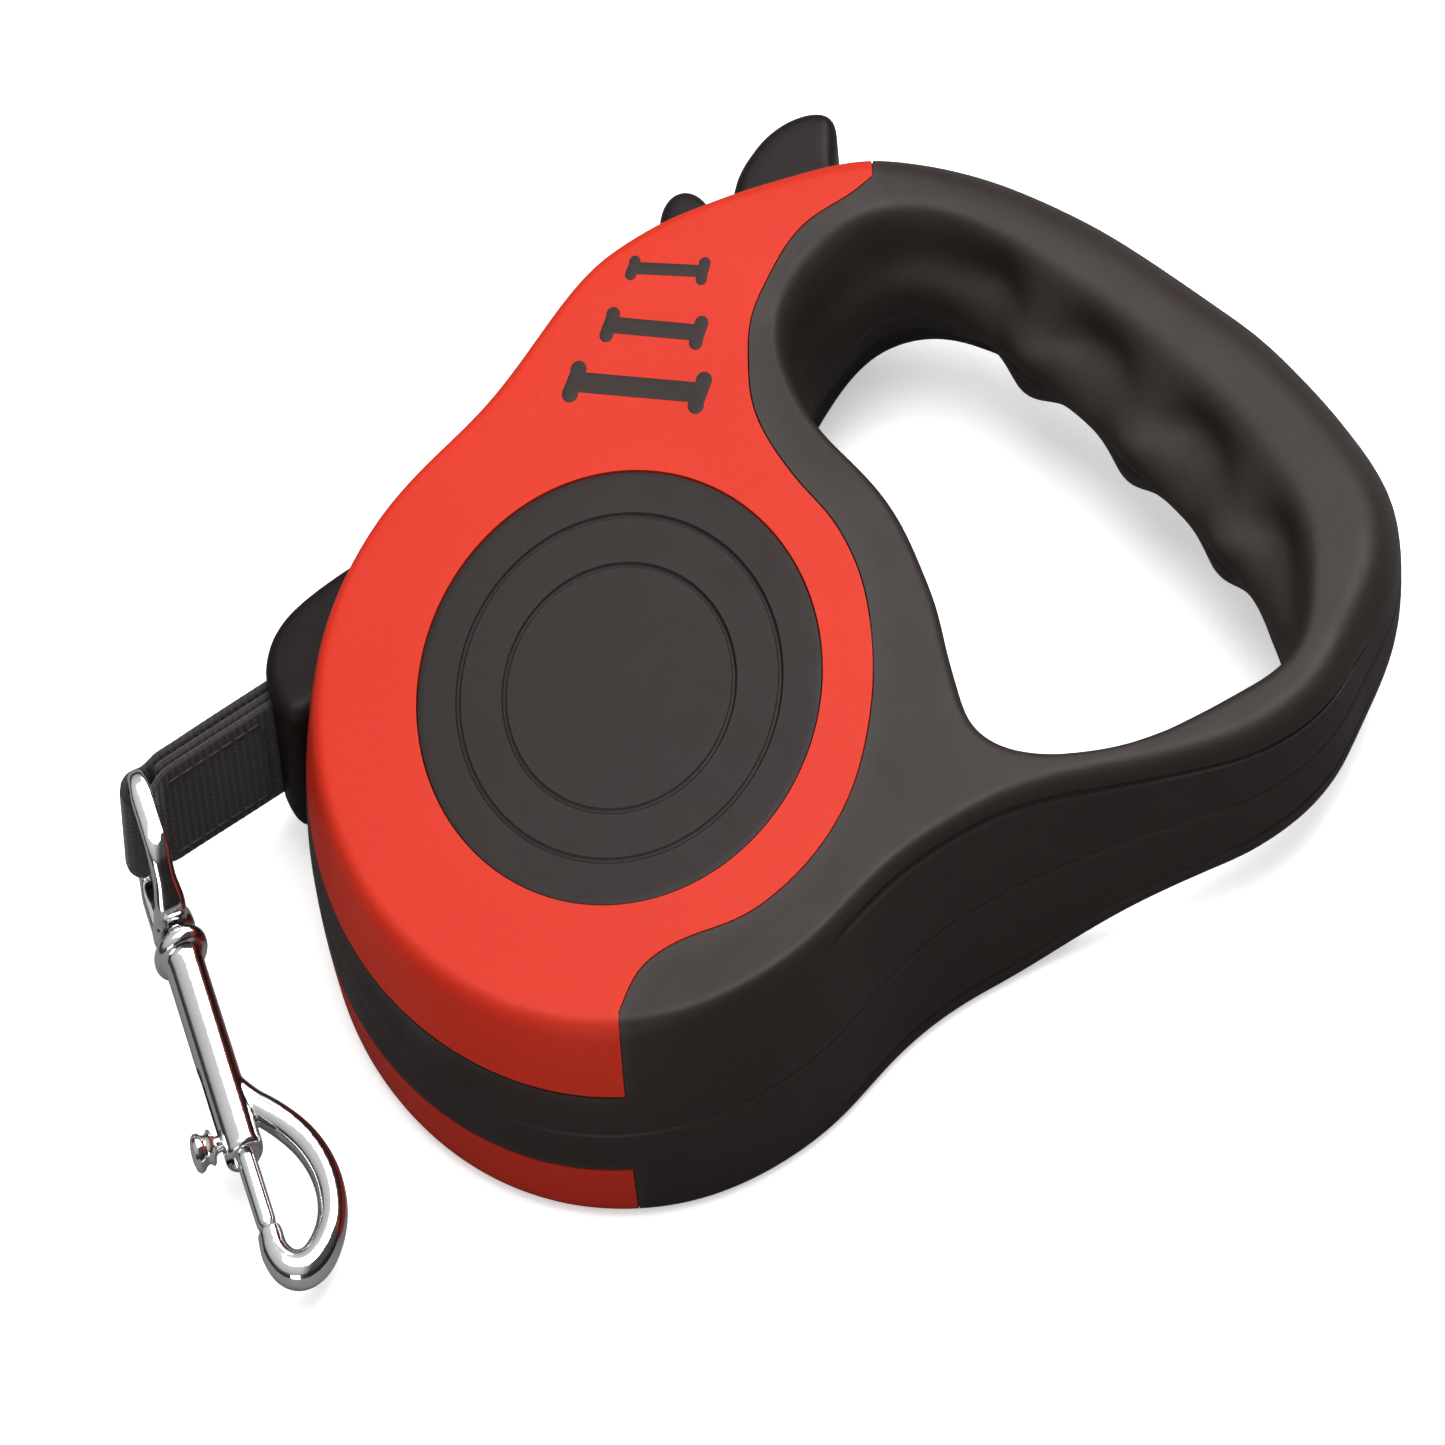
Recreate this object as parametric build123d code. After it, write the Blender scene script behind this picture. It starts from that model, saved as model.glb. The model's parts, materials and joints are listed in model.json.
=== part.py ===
from build123d import *
import os
from math import cos, sin, radians, pi

# Retractable tape leash, in millimetres.  The origin is on the reel axis and z = 0 is the
# rear resting face.  +Z points out of the front face, -X is the way the strap leaves the
# casing, +Y is towards the brake lever.  The casing parts at z = MID into two shells.

# ---- driving dimensions ----
BODY_T = 30.0            # overall thickness of the casing
MID = BODY_T / 2         # parting plane of the two shells
EDGE_R = 2.0             # outer edge radius of the casing faces
COVER_T = 1.7            # face thickness of the coloured covers
SKIRT_T = 1.85           # wall thickness of the cover skirts
COVER_GAP = 0.12         # gap from a cover to the shell edge and medallion beside it
SEAM_GAP = 0.06          # gap under a cover, and between shell and nozzle
BAND_TOP = 21.0          # front edge of the bare centre band of the side wall
REAR_PLATE = 4.5         # inner face of the rear shell plate
FRONT_PLATE = BODY_T - REAR_PLATE
CHAMBER_R = 43.2         # reel chamber
MEDAL_R = 30.0
FLANGE_R = 42.2          # reel flanges
HUB_R, HUB_BORE = 18.7, 14.5
COIL_R = 33.2            # wound strap
TAPE_W, TAPE_T = 15.0, 0.8
LEADER_T = 3.9           # doubled end of the strap
STRAP_Y = 33.7           # centre plane of the running strap
AXLE_R, SPIGOT_R = 4.0, 2.5
SHANK_R = 1.5            # screw shanks and the brake pivot pin
SNUG = 0.02              # radial clearance of a fixed pin or screw
RUN_GAP = 0.05           # radial running clearance
PIVOT = (26.0, 47.5)     # brake lever pivot
GUIDE_PIN = (-38.4, 31.45)
GUIDE_PIN_R = 1.2

# ---- measured outlines, (x, y) unless noted ----
# casing, clockwise seen from the front
OUTLINE = [
    (-48.5, 0), (-46.9, 12.4), (-42.6, 23.2), (-36.0, 32.4), (-27.6, 39.4), (-19.0, 43.9),
    (-9.7, 46.6), (0.2, 48.2), (10.3, 50.8), (20.2, 54.2), (25.2, 55.4), (30.3, 55.8),
    (35.4, 55.4), (40.4, 54.6), (45.8, 54.0), (51.0, 53.5), (56.4, 53.1), (62.0, 52.4),
    (67.4, 50.9), (73.0, 48.1), (78.4, 44.3), (83.8, 39.5), (88.9, 33.8), (93.9, 27.2),
    (99.0, 18.8), (104.0, 9.4), (107.5, 2.2), (110.2, -5.4), (112.3, -13.4), (113.4, -21.0),
    (113.1, -28.4), (111.6, -33.2), (109.2, -37.4), (106.0, -40.9), (102.1, -43.8),
    (98.0, -46.5), (92.9, -49.6), (87.2, -51.4), (81.6, -51.8), (76.2, -51.3), (70.9, -50.1),
    (60.7, -47.5), (50.2, -45.1), (39.9, -43.6), (30.0, -43.2), (20.2, -44.6), (10.3, -47.4),
    (0.0, -48.5), (-12.6, -46.9), (-24.3, -42.0), (-34.3, -34.3), (-42.0, -24.3),
    (-46.9, -12.6)]
# opening inside the handle
HOLE = [
    (42.9, -26), (42.5, -30.3), (43.7, -34.3), (46.9, -37.8), (51.6, -40.4), (57.9, -42.4),
    (64.2, -43.5), (71.5, -43.9), (79.6, -43.8), (85.7, -43.2), (89.7, -42.0), (93.0, -39.2),
    (94.3, -35.2), (93.9, -29.5), (92.0, -22.5), (88.7, -13.6), (85.2, -5.0), (82.0, 3.0),
    (79.2, 9.5), (76.5, 15.2), (73.5, 21.4), (70.4, 27.0), (66.0, 32.0), (60.6, 34.7),
    (55.0, 34.5), (50.0, 32.0), (46.6, 28.0), (44.5, 23.2), (43.9, 17.5), (44.9, 10.5),
    (46.1, 4.0), (46.5, -2.0), (46.2, -8.0), (45.5, -14.0), (44.1, -20.0)]
# inner edge of the coloured cover, from its pointed tip round to the side wall
COVER_EDGE = [
    (66.5, 46.6), (62, 45.6), (55, 44.6), (50, 42.6), (45, 39.2), (40, 35), (37, 30),
    (35, 25), (34.5, 20), (35, 15), (36, 10), (37.3, 5), (37.8, 0), (37.5, -5), (36, -11),
    (33, -18), (28, -25.5), (22, -31.5), (15, -35.5), (8, -37.5), (0, -38.2), (-5, -37.5),
    (-10, -36.5), (-15, -36.9), (-19, -39.5), (-21.5, -43.5)]
# closes the cover region well outside the casing
COVER_SURROUND = [(-27, -56), (-70, -56), (-70, 75), (84, 75)]
# (x, z) of the front face where the handle thins
TAPER = [(38, 30), (48, 29.0), (60, 26.7), (70, 25.5), (82, 24.8), (96, 24.4), (118, 24.2)]
TAPER_TOP = 34           # above the casing
LEVER_POCKET = [
    (21.2, 42.5), (21.6, 50.0), (30, 51.4), (36, 51.0), (42, 50.4), (50, 49.2), (58, 48.6),
    (65.5, 47.0), (66.6, 44), (65.4, 37.8), (58, 36.6), (50, 36.2), (46.3, 34.6), (41, 31.0),
    (37.0, 26.2), (33, 25.5), (28, 32)]
HANDLE_HOLLOW = [
    (74, 37.5), (82, 29.5), (90, 18), (97, 4.5), (102, -8), (105, -21), (103.5, -31),
    (99.5, -34.5), (98.0, -28), (94.5, -17), (89.5, -4.5), (84, 8), (79.5, 18), (74.5, 27.5),
    (70.5, 33.5)]
NOZZLE = [(-43.0, 28.2), (-41.6, 26.6), (-22.0, 26.6), (-22.0, 41.4), (-35.5, 40.9),
          (-39.3, 39.6), (-42.0, 36.9), (-43.0, 33.6)]
# casing screw centres
SCREWS = [(17.0, 47.6), (37.5, -38.4), (99.5, -9.0), (98.8, -40.6), (82.5, 26.5)]
# bone inlays: one end, other end, bar width
BONES = [((28.7, 50.8), (37.3, 45.0), 2.2), ((22.0, 46.0), (33.0, 38.3), 2.6),
         ((13.5, 41.7), (29.0, 30.0), 3.0)]

PARTS = {}


# ---- helpers ----
def centred(half):
    """Z range centred on the parting plane."""
    return MID - half, MID + half


TAPE_Z = centred(TAPE_W / 2)
SPRING_Z = centred(7.0)


def prism(face, z0, z1):
    return Pos(0, 0, z0) * extrude(face, z1 - z0)


def poly(points, z0, z1):
    return prism(make_face(Polyline(*points, close=True)), z0, z1)


def cyl(x, y, radius, z0, z1):
    return Pos(x, y, (z0 + z1) / 2) * Cylinder(radius, z1 - z0)


def rod(x0, x1, radius):
    """Cylinder along the x axis."""
    return Pos((x0 + x1) / 2, 0, 0) * Rot(0, 90, 0) * Cylinder(radius, x1 - x0)


def box(x0, x1, y0, y1, z0, z1):
    centre = Pos((x0 + x1) / 2, (y0 + y1) / 2, (z0 + z1) / 2)
    return centre * Box(x1 - x0, y1 - y0, z1 - z0)


def cross_recess(x, y, arm, z0, z1):
    half_slot = 0.3
    return (box(x - arm, x + arm, y - half_slot, y + half_slot, z0, z1)
            + box(x - half_slot, x + half_slot, y - arm, y + arm, z0, z1))


def coil_spring(radius, wire_radius, height, pitch):
    helix = Helix(pitch=pitch, height=height, radius=radius)
    return sweep(Plane(origin=helix @ 0, z_dir=helix % 0) * Circle(wire_radius), helix)


def mirrored(shape):
    """The same shape on the other side of the parting plane."""
    return mirror(shape, Plane(origin=(0, 0, MID), z_dir=(0, 0, 1)))


def largest(shape):
    return sorted(shape.solids(), key=lambda solid: -solid.volume)[0]


def keep(name, *shapes):
    """Record a piece; each shape gives its largest solid."""
    PARTS[name] = [largest(shape) for shape in shapes]


def shifted(curve, distance, steps, periodic):
    """Points of a curve moved sideways, to the left of its travel."""
    points = []
    for i in range(steps if periodic else steps + 1):
        at, along = curve.position_at(i / steps), curve.tangent_at(i / steps)
        points.append((at.X - along.Y * distance, at.Y + along.X * distance))
    return points


# ---- casing envelope ----
outline_curve = Spline(*OUTLINE, periodic=True)


def taper(drop):
    """Everything above the front face of the handle, lowered by drop."""
    stations = [(x, z - drop) for x, z in TAPER]
    (x_start, _), (x_end, _) = TAPER[0], TAPER[-1]
    top = Spline(*stations, tangents=((1, 0), (1, 0)))
    rest = Polyline(stations[-1], (x_end, TAPER_TOP), (x_start, TAPER_TOP), stations[0])
    face = make_face(Plane.XZ * (Curve() + [top, rest]))
    return Pos(0, 90, 0) * extrude(face, 180)


def casing_half():
    """Front half of the solid casing with its front edges rounded."""
    hole = make_face(Spline(*HOLE, periodic=True))
    half = (prism(make_face(outline_curve), MID, BODY_T)
            - prism(hole, MID - 1, BODY_T + 1) - taper(0))
    face_edges = []
    for edge in half.edges():
        bounds = edge.bounding_box()
        if bounds.min.Z > 22.5 and bounds.size.X > 0.05:
            face_edges.append(edge)
    for radius in (EDGE_R, 1.5, 1.0):
        # the kernel may refuse a radius on these spline edges; take the next one down
        try:
            rounded = fillet(face_edges, radius)
            if rounded.is_valid:
                return rounded
        except Exception:
            continue
    return half


def cover_core(gap):
    """The volume inside the cover skirt and under its face, smaller by gap."""
    # the outline runs clockwise, so a negative shift moves it inwards
    inset = shifted(outline_curve, -(SKIRT_T + gap), 110, True)
    block = prism(make_face(Spline(*inset, periodic=True)), MID, BODY_T - COVER_T - gap)
    return block - taper(COVER_T + gap)


def cover_region(edge_points, z0):
    """Region of the cover, bounded inside by the given edge."""
    surround = Polyline(edge_points[-1], *COVER_SURROUND, edge_points[0])
    return prism(make_face(Curve() + [Spline(*edge_points), surround]), z0, BODY_T + 2)


def nozzle_block(gap, chamber_radius):
    """Nozzle envelope grown by gap and cut back round the reel chamber."""
    face = make_face(Polyline(*NOZZLE, close=True))
    if gap:
        face = offset(face, gap, kind=Kind.INTERSECTION)
    return prism(face, *centred(10.0 + gap)) - cyl(0, 0, chamber_radius, 0, BODY_T)


NOZZLE_BACK_R = 44.0     # radius of the nozzle's inner end


def strap_passage(extra):
    half_height = 1.1 + extra
    return box(-50, -18, STRAP_Y - half_height, STRAP_Y + half_height, *centred(8.1 + extra))


# ---- covers, inlays and medallions ----
def bone(start, finish, width, z0, z1, gap=0.0):
    """Straight bar with two round knuckles at each end."""
    start, finish = Vector(*start), Vector(*finish)
    along = (finish - start).normalized()
    across = Vector(-along.Y, along.X)
    knuckle = width * 0.62
    shape = None
    for end, inward in ((start, 1), (finish, -1)):
        for side in (-1, 1):
            at = end + along * (inward * knuckle) + across * (side * knuckle * 0.95)
            disc = cyl(at.X, at.Y, knuckle + gap, z0, z1)
            shape = disc if shape is None else shape + disc
    bar_start, bar_finish = start + along * knuckle, finish - along * knuckle
    half = across * (width / 2 + gap)
    bar = [bar_start + half, bar_finish + half, bar_finish - half, bar_start - half]
    return shape + poly([(point.X, point.Y) for point in bar], z0, z1)


def cover(casing):
    shape = (casing & cover_region(COVER_EDGE, BAND_TOP)) - cover_core(0)
    shape = shape - cyl(0, 0, MEDAL_R + COVER_GAP, 20, BODY_T + 1)
    shape = shape - nozzle_block(0.15, 43.9)
    for start, finish, width in BONES:
        shape = shape - bone(start, finish, width, BODY_T - 0.72, BODY_T + 1, 0.04)
    return largest(shape)


def medallion():
    """Disc with two fine engraved rings."""
    half_groove, floor = 0.2, BODY_T - 0.35
    disc = cyl(0, 0, MEDAL_R, BODY_T - COVER_T, BODY_T - 0.05)
    for radius in (23.9, 17.05):
        disc = disc - (cyl(0, 0, radius + half_groove, floor, BODY_T + 1)
                       - cyl(0, 0, radius - half_groove, floor, BODY_T + 1))
    return largest(disc)


# ---- shells and their screws ----
def screw_levels(x):
    """Head seat and front end of the bore; both differ in the thinner handle."""
    in_handle = x > 70
    face = BODY_T - 24.6 if in_handle else COVER_T
    return face + 2.3, 22.0 if in_handle else 24.0


def shell_half(casing):
    """Front shell before the sockets that differ from front to rear."""
    gap_edge = shifted(Spline(*COVER_EDGE), COVER_GAP, 60, False)
    shell = casing - (cover_region(gap_edge, BAND_TOP - SEAM_GAP) - cover_core(SEAM_GAP))
    shell = shell - cyl(0, 0, CHAMBER_R, MID - 1, FRONT_PLATE)
    shell = shell - (poly(LEVER_POCKET, MID - 1, FRONT_PLATE) - taper(COVER_T + 2.2))
    hollow = prism(make_face(Spline(*HANDLE_HOLLOW, periodic=True)), MID - 1, 21.6)
    for x, y in SCREWS:
        hollow = hollow - cyl(x, y, 3.1, 0, BODY_T)    # leaves a screw boss standing
    shell = shell - hollow
    shell = shell - nozzle_block(SEAM_GAP, NOZZLE_BACK_R - SEAM_GAP) - strap_passage(0.1)
    lever_slot = box(46.4, 66.2, 44, 60, *centred(5.9))
    lock_slot = box(37.1, 45.9, 46, 60, *centred(4.8))
    return shell - lever_slot - lock_slot


PIN_Z = (2.9, BODY_T - 2.9)      # ends of the brake pivot pin
SPIGOT_TOP = 27.3
AXLE_SEAT = 3.05                 # where the axle screw's head seats


def front_shell(half):
    bore = SHANK_R + SNUG
    shell = half - cyl(*PIVOT, bore, 20, PIN_Z[1] + 0.1)
    shell = shell - cyl(0, 0, SPIGOT_R + SNUG, 20, SPIGOT_TOP + 0.1)
    for x, y in SCREWS:
        shell = shell - cyl(x, y, bore, MID - 1, screw_levels(x)[1])
    return shell


def rear_shell(half):
    shell = mirrored(half) - cyl(*PIVOT, SHANK_R + SNUG, PIN_Z[0] - 0.1, 8)
    shell = shell - cyl(0, 0, 1.6, 0, 8) - cyl(0, 0, 3.0, 0, AXLE_SEAT)
    for x, y in SCREWS:
        seat = screw_levels(x)[0]
        shell = shell - cyl(x, y, 1.7, 0, MID + 1) - cyl(x, y, 2.9, -1, seat)
    return shell


def casing_screw(x, y):
    seat, bore_end = screw_levels(x)
    screw = cyl(x, y, 2.7, seat - 1.9, seat) + cyl(x, y, SHANK_R, seat - 0.1, bore_end - 0.5)
    return screw - cross_recess(x, y, 1.6, seat - 2.5, seat - 1.0)


# ---- nozzle and axle ----
def strap_nozzle():
    nozzle = nozzle_block(0, NOZZLE_BACK_R) - strap_passage(0)
    return nozzle - cyl(*GUIDE_PIN, GUIDE_PIN_R + SNUG, *centred(9.4))


def centre_axle():
    """Axle with a front spigot, a rear screw bore and a slot for the mainspring."""
    axle = cyl(0, 0, AXLE_R, REAR_PLATE, FRONT_PLATE)
    axle = axle + cyl(0, 0, SPIGOT_R, FRONT_PLATE - 0.1, SPIGOT_TOP)
    slot = box(2.0, 5, -0.4, 0.4, SPRING_Z[0] - 0.5, SPRING_Z[1] + 0.5)
    return axle - cyl(0, 0, SHANK_R + SNUG, 4, 13) - slot


def axle_screw():
    screw = cyl(0, 0, 2.8, COVER_T + 0.1, AXLE_SEAT) + cyl(0, 0, SHANK_R, 3.0, 12.5)
    return screw - cross_recess(0, 0, 1.8, 1, 2.4)


# ---- reel ----
TEETH = 24
PAWL_ANGLE = 43.4        # direction of the tooth gap that faces the pawl
REAR_FLANGE = (5.0, 6.6)
FRONT_FLANGE = (23.0, 24.6)
HUB_TOP = 22.9
REEL_SCREW_R = 0.95
REEL_HEAD_SEAT = 23.7
REEL_SCREWS = [(16.6 * cos(radians(a)), 16.6 * sin(radians(a))) for a in (90, 210, 330)]


def toothed_flange(z0, z1):
    """Disc with square tooth gaps round the rim and six round windows."""
    middle, cut_height = (z0 + z1) / 2, z1 - z0 + 2
    flange = cyl(0, 0, FLANGE_R, z0, z1)
    for i in range(TEETH):
        gap = Pos(FLANGE_R - 1.2, 0, middle) * Box(4.6, 5.2, cut_height)
        flange = flange - Rot(0, 0, PAWL_ANGLE + i * 360 / TEETH) * gap
    for i in range(6):
        window = Pos(26.0, 0, middle) * Cylinder(3.4, cut_height)
        flange = flange - Rot(0, 0, 30 + i * 60) * window
    return flange


def reel():
    """Rear flange with the hub."""
    shape = toothed_flange(*REAR_FLANGE) + cyl(0, 0, HUB_R, 6.5, HUB_TOP)
    shape = shape - cyl(0, 0, HUB_BORE, REAR_FLANGE[1], 24)
    shape = shape - cyl(0, 0, AXLE_R + RUN_GAP, 4, 8)
    for x, y in REEL_SCREWS:
        shape = shape - cyl(x, y, REEL_SCREW_R + SNUG, 15.5, 24)
    # notch that hooks the outer end of the mainspring
    return shape - box(14.0, 16.0, -0.45, 0.45, 7.0, HUB_TOP + 0.05)


def reel_cover():
    """Front flange that closes the hub."""
    shape = toothed_flange(*FRONT_FLANGE) - cyl(0, 0, AXLE_R + RUN_GAP, 20, 26)
    for x, y in REEL_SCREWS:
        shape = shape - cyl(x, y, REEL_SCREW_R + 0.1, 20, 26)
        shape = shape - cyl(x, y, 1.85, REEL_HEAD_SEAT, 26)
    return shape


def reel_cover_screw(x, y):
    screw = cyl(x, y, 1.75, REEL_HEAD_SEAT, FRONT_FLANGE[1] - 0.05)
    screw = screw + cyl(x, y, REEL_SCREW_R, 16, REEL_HEAD_SEAT + 0.1)
    return screw - box(x - 1.1, x + 1.1, y - 0.2, y + 0.2, 24.1, 26)


def mainspring():
    """Flat spiral between axle and hub with a tang at each end."""
    turns, inner_radius, outer_radius, half_strip = 9, 4.7, 14.1, 0.14
    steps = turns * 12

    def spiral(side):
        points = []
        for i in range(steps + 1):
            radius = inner_radius + (outer_radius - inner_radius) * i / steps + side
            angle = 2 * pi * turns * i / steps
            points.append((radius * cos(angle), radius * sin(angle)))
        return points

    inner, outer = spiral(-half_strip), spiral(half_strip)
    strip = make_face(Curve() + [Spline(*inner), Polyline(inner[-1], outer[-1]),
                                 Spline(*outer), Polyline(outer[0], inner[0])])
    spring = prism(strip, *SPRING_Z)
    for x0, x1 in ((2.3, 4.75), (14.05, 15.6)):
        spring = spring + box(x0, x1, -half_strip, half_strip, *SPRING_Z)
    return spring


def wound_strap():
    return cyl(0, 0, COIL_R, *TAPE_Z) - cyl(0, 0, HUB_R + 0.05, 7, 23)


# ---- clip, drawn in its own frame: x along the clip, z along the eye bar ----
EYE = (-65.0, STRAP_Y, MID)      # centre of the eye bar
azimuth, tilt = radians(-98.0), radians(9.0)
clip_axis = Vector(cos(azimuth) * cos(tilt), sin(azimuth) * cos(tilt), -sin(tilt))
bar_axis = Vector(cos(azimuth) * sin(tilt), sin(azimuth) * sin(tilt), cos(tilt))
CLIP = Plane(origin=EYE, x_dir=clip_axis, z_dir=bar_axis).location

BOLT_BORE_X = 19.2       # closed end of the bolt's bore
BOLT_X = 37.0            # rear end of the bolt
KNOB_X = 42              # the knob's post


def strap():
    """Flat tape from the coil to the mouth, doubled leader, fold round the eye bar."""
    tape = box(-44.0, 0.0, STRAP_Y - TAPE_T / 2, STRAP_Y + TAPE_T / 2, *TAPE_Z)
    leader = box(-62.5, -43.6, STRAP_Y - LEADER_T / 2, STRAP_Y + LEADER_T / 2, *TAPE_Z)
    fold = (CLIP * Cylinder(2.75, 22)) & box(-80, -40, 20, 50, *TAPE_Z)
    return tape + leader + fold - CLIP * Cylinder(1.45, 30)


def swivel_eye():
    """Eye bar, two converging arms and a bored boss."""
    reach, half_depth = 8.7, 1.6     # arm's inner face from the centre, half its thickness
    eye = Cylinder(1.35, 2 * reach + 2)
    for side in (-1, 1):
        # (x, distance from the centre along the bar)
        profile = [(-1.5, reach), (-1.5, reach + 1.6), (-0.6, reach + 2.2), (9.0, reach + 1.9),
                   (15.0, 4.2), (15.0, 2.2), (12.9, 2.2), (8.4, reach)]
        outline = Polyline(*[(x, side * z) for x, z in profile], close=True)
        arm = extrude(make_face(Plane.XZ * outline), 2 * half_depth)
        eye = eye + Pos(0, half_depth, 0) * arm
    boss = box(12.9, 15.0, -half_depth, half_depth, -3, 3) + rod(12.9, 15.0, 3.2)
    eye = eye + boss - rod(12, 16, 1.68)
    # the kernel may refuse to round the long arm edges; they then stay sharp
    try:
        long_edges = [e for e in eye.edges() if e.geom_type == GeomType.LINE and e.length > 8.0]
        eye = fillet(long_edges, 0.9)
    except Exception:
        pass
    return eye


def snap_body():
    """Swivel stem, collars and barrel, with the curved hook at the far end."""
    body = (rod(11.0, 12.7, 2.3) + rod(12.6, 15.4, 1.6) + rod(15.2, 16.4, 3.4)
            + rod(16.4, 18.2, 4.1) + rod(18.1, 44.0, 3.0))
    root, root_direction = (37.0, 1.3, 0), (1, 0.85, 0)
    path = Spline(root, (41.0, 4.7, 0), (46.0, 8.2, 0), (51.0, 9.7, 0), (56.0, 9.3, 0),
                  (60.0, 6.9, 0), (61.5, 3.4, 0), (60.0, 0.7, 0), (57.6, -0.1, 0),
                  (55.2, 0, 0), tangents=(root_direction, (-1, 0, 0)))
    hook = sweep(Plane(origin=root, z_dir=root_direction) * Circle(1.95), path)
    knob_slot = box(33.0, 42.95, -4, 0, -1.0, 1.0)
    return body + hook - rod(BOLT_BORE_X, 45.0, 1.8) - knob_slot


def knob_post(y, radius, length):
    """Cylinder along y, centred at y on the knob's station."""
    return Pos(KNOB_X, y, 0) * Rot(90, 0, 0) * Cylinder(radius, length)


def snap_bolt():
    return rod(BOLT_X, 54.9, 1.7) - knob_post(-1.0, 0.92, 2.0)


def bolt_knob():
    return knob_post(-3.55, 0.9, 6.9) + knob_post(-6.6, 2.2, 1.5)


def bolt_spring():
    return Pos(19.9, 0, 0) * Rot(0, 90, 0) * coil_spring(1.25, 0.28, 16.2, 1.8)


# ---- brake lever and lock button ----
LEVER_Z = centred(5.5)
LOCK_Z = centred(4.5)
FIN = [(46.9, 47.0), (47.0, 52.0), (47.6, 57.0), (49.0, 60.6), (51.0, 62.8), (53.4, 64.2),
       (56.5, 65.3), (60.0, 65.6), (63.2, 65.0), (65.8, 63.6), (66.7, 62.1), (66.2, 60.3),
       (64.6, 57.2), (63.7, 53.0), (63.6, 47.0), (62.0, 43.4), (55.0, 42.6), (49.0, 43.0)]
LEVER_ARM = [(25.5, 44.6), (36, 41.0), (50, 40.4), (60, 43.0), (60, 48), (48.2, 46.0),
             (47.6, 44.5), (35.4, 44.5), (27.0, 50.3)]
PAWL_ARM = [(31.5, 45.2), (36.8, 45.0), (36.4, 36), (35.5, 30.7), (32.6, 27.9), (31.1, 29.5),
            (32.3, 33.5), (31.8, 38)]
PAWL_TIP = [(31.1, 29.5), (32.6, 27.9), (35.0, 30.1), (33.5, 31.8)]


def brake_lever():
    """Fin-shaped thumb piece, arm and pawl; the pawl tip spans both reel flanges."""
    lever = prism(make_face(Spline(*FIN, periodic=True)), *LEVER_Z)
    lever = lever + poly(LEVER_ARM, *LEVER_Z)
    lever = lever + cyl(*PIVOT, 3.1, *LEVER_Z)
    lever = lever + poly(PAWL_ARM, *LEVER_Z)
    lever = lever + poly(PAWL_TIP, 5.4, 24.3)
    return lever - cyl(*PIVOT, SHANK_R + RUN_GAP, 0, BODY_T)


def brake_spring():
    return Pos(54, 37.2, MID) * Rot(-90, 0, 0) * coil_spring(2.2, 0.35, 3.45, 1.15)


def lock_button():
    """Domed cap, stem and inner flange."""
    x0, x1, base_y, shoulder_y = 37.4, 45.6, 50.3, 61.2
    sides = Polyline((x1, shoulder_y), (x1, base_y), (x0, base_y), (x0, shoulder_y))
    dome = ThreePointArc((x0, shoulder_y), ((x0 + x1) / 2, 64.0), (x1, shoulder_y))
    button = prism(make_face(Curve() + [sides, dome]), *LOCK_Z)
    button = button + box(x0 - 0.7, x1 + 0.7, 48.0, 49.3, *centred(6.0))
    return button + box(x0, x1, 49.2, 51, *LOCK_Z)


# ---- assembly ----
casing = casing_half()
half_shell = shell_half(casing)
keep("front_shell", front_shell(half_shell))
keep("rear_shell", rear_shell(half_shell))
keep("casing_screws", *[casing_screw(x, y) for x, y in SCREWS])

inlays = [largest(bone(*entry, BODY_T - 0.7, BODY_T)) for entry in BONES]
for name, pieces in (("cover", [cover(casing)]), ("bone_inlays", inlays),
                     ("medallion", [medallion()])):
    keep("front_" + name, *pieces)
    keep("rear_" + name, *[mirrored(piece) for piece in pieces])

keep("strap_nozzle", strap_nozzle())
keep("guide_pin", cyl(*GUIDE_PIN, GUIDE_PIN_R, *centred(9.3)))
keep("centre_axle", centre_axle())
keep("axle_screw", axle_screw())
keep("brake_pivot_pin", cyl(*PIVOT, SHANK_R, *PIN_Z))
keep("reel", reel())
keep("reel_cover", reel_cover())
keep("reel_cover_screws", *[reel_cover_screw(x, y) for x, y in REEL_SCREWS])
keep("mainspring", mainspring())
keep("wound_strap", wound_strap())
keep("strap", strap())
keep("swivel_eye", CLIP * swivel_eye())
keep("snap_body", CLIP * snap_body())
keep("snap_bolt", CLIP * snap_bolt())
keep("bolt_knob", CLIP * bolt_knob())
keep("bolt_spring", CLIP * bolt_spring())
keep("brake_lever", brake_lever())
keep("brake_spring", brake_spring())
keep("lock_button", lock_button())

os.makedirs("parts", exist_ok=True)
for name, solids in PARTS.items():
    shape = solids[0] if len(solids) == 1 else Compound(children=solids)
    shape.label = name
    export_step(shape, "parts/" + name + ".step")
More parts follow.
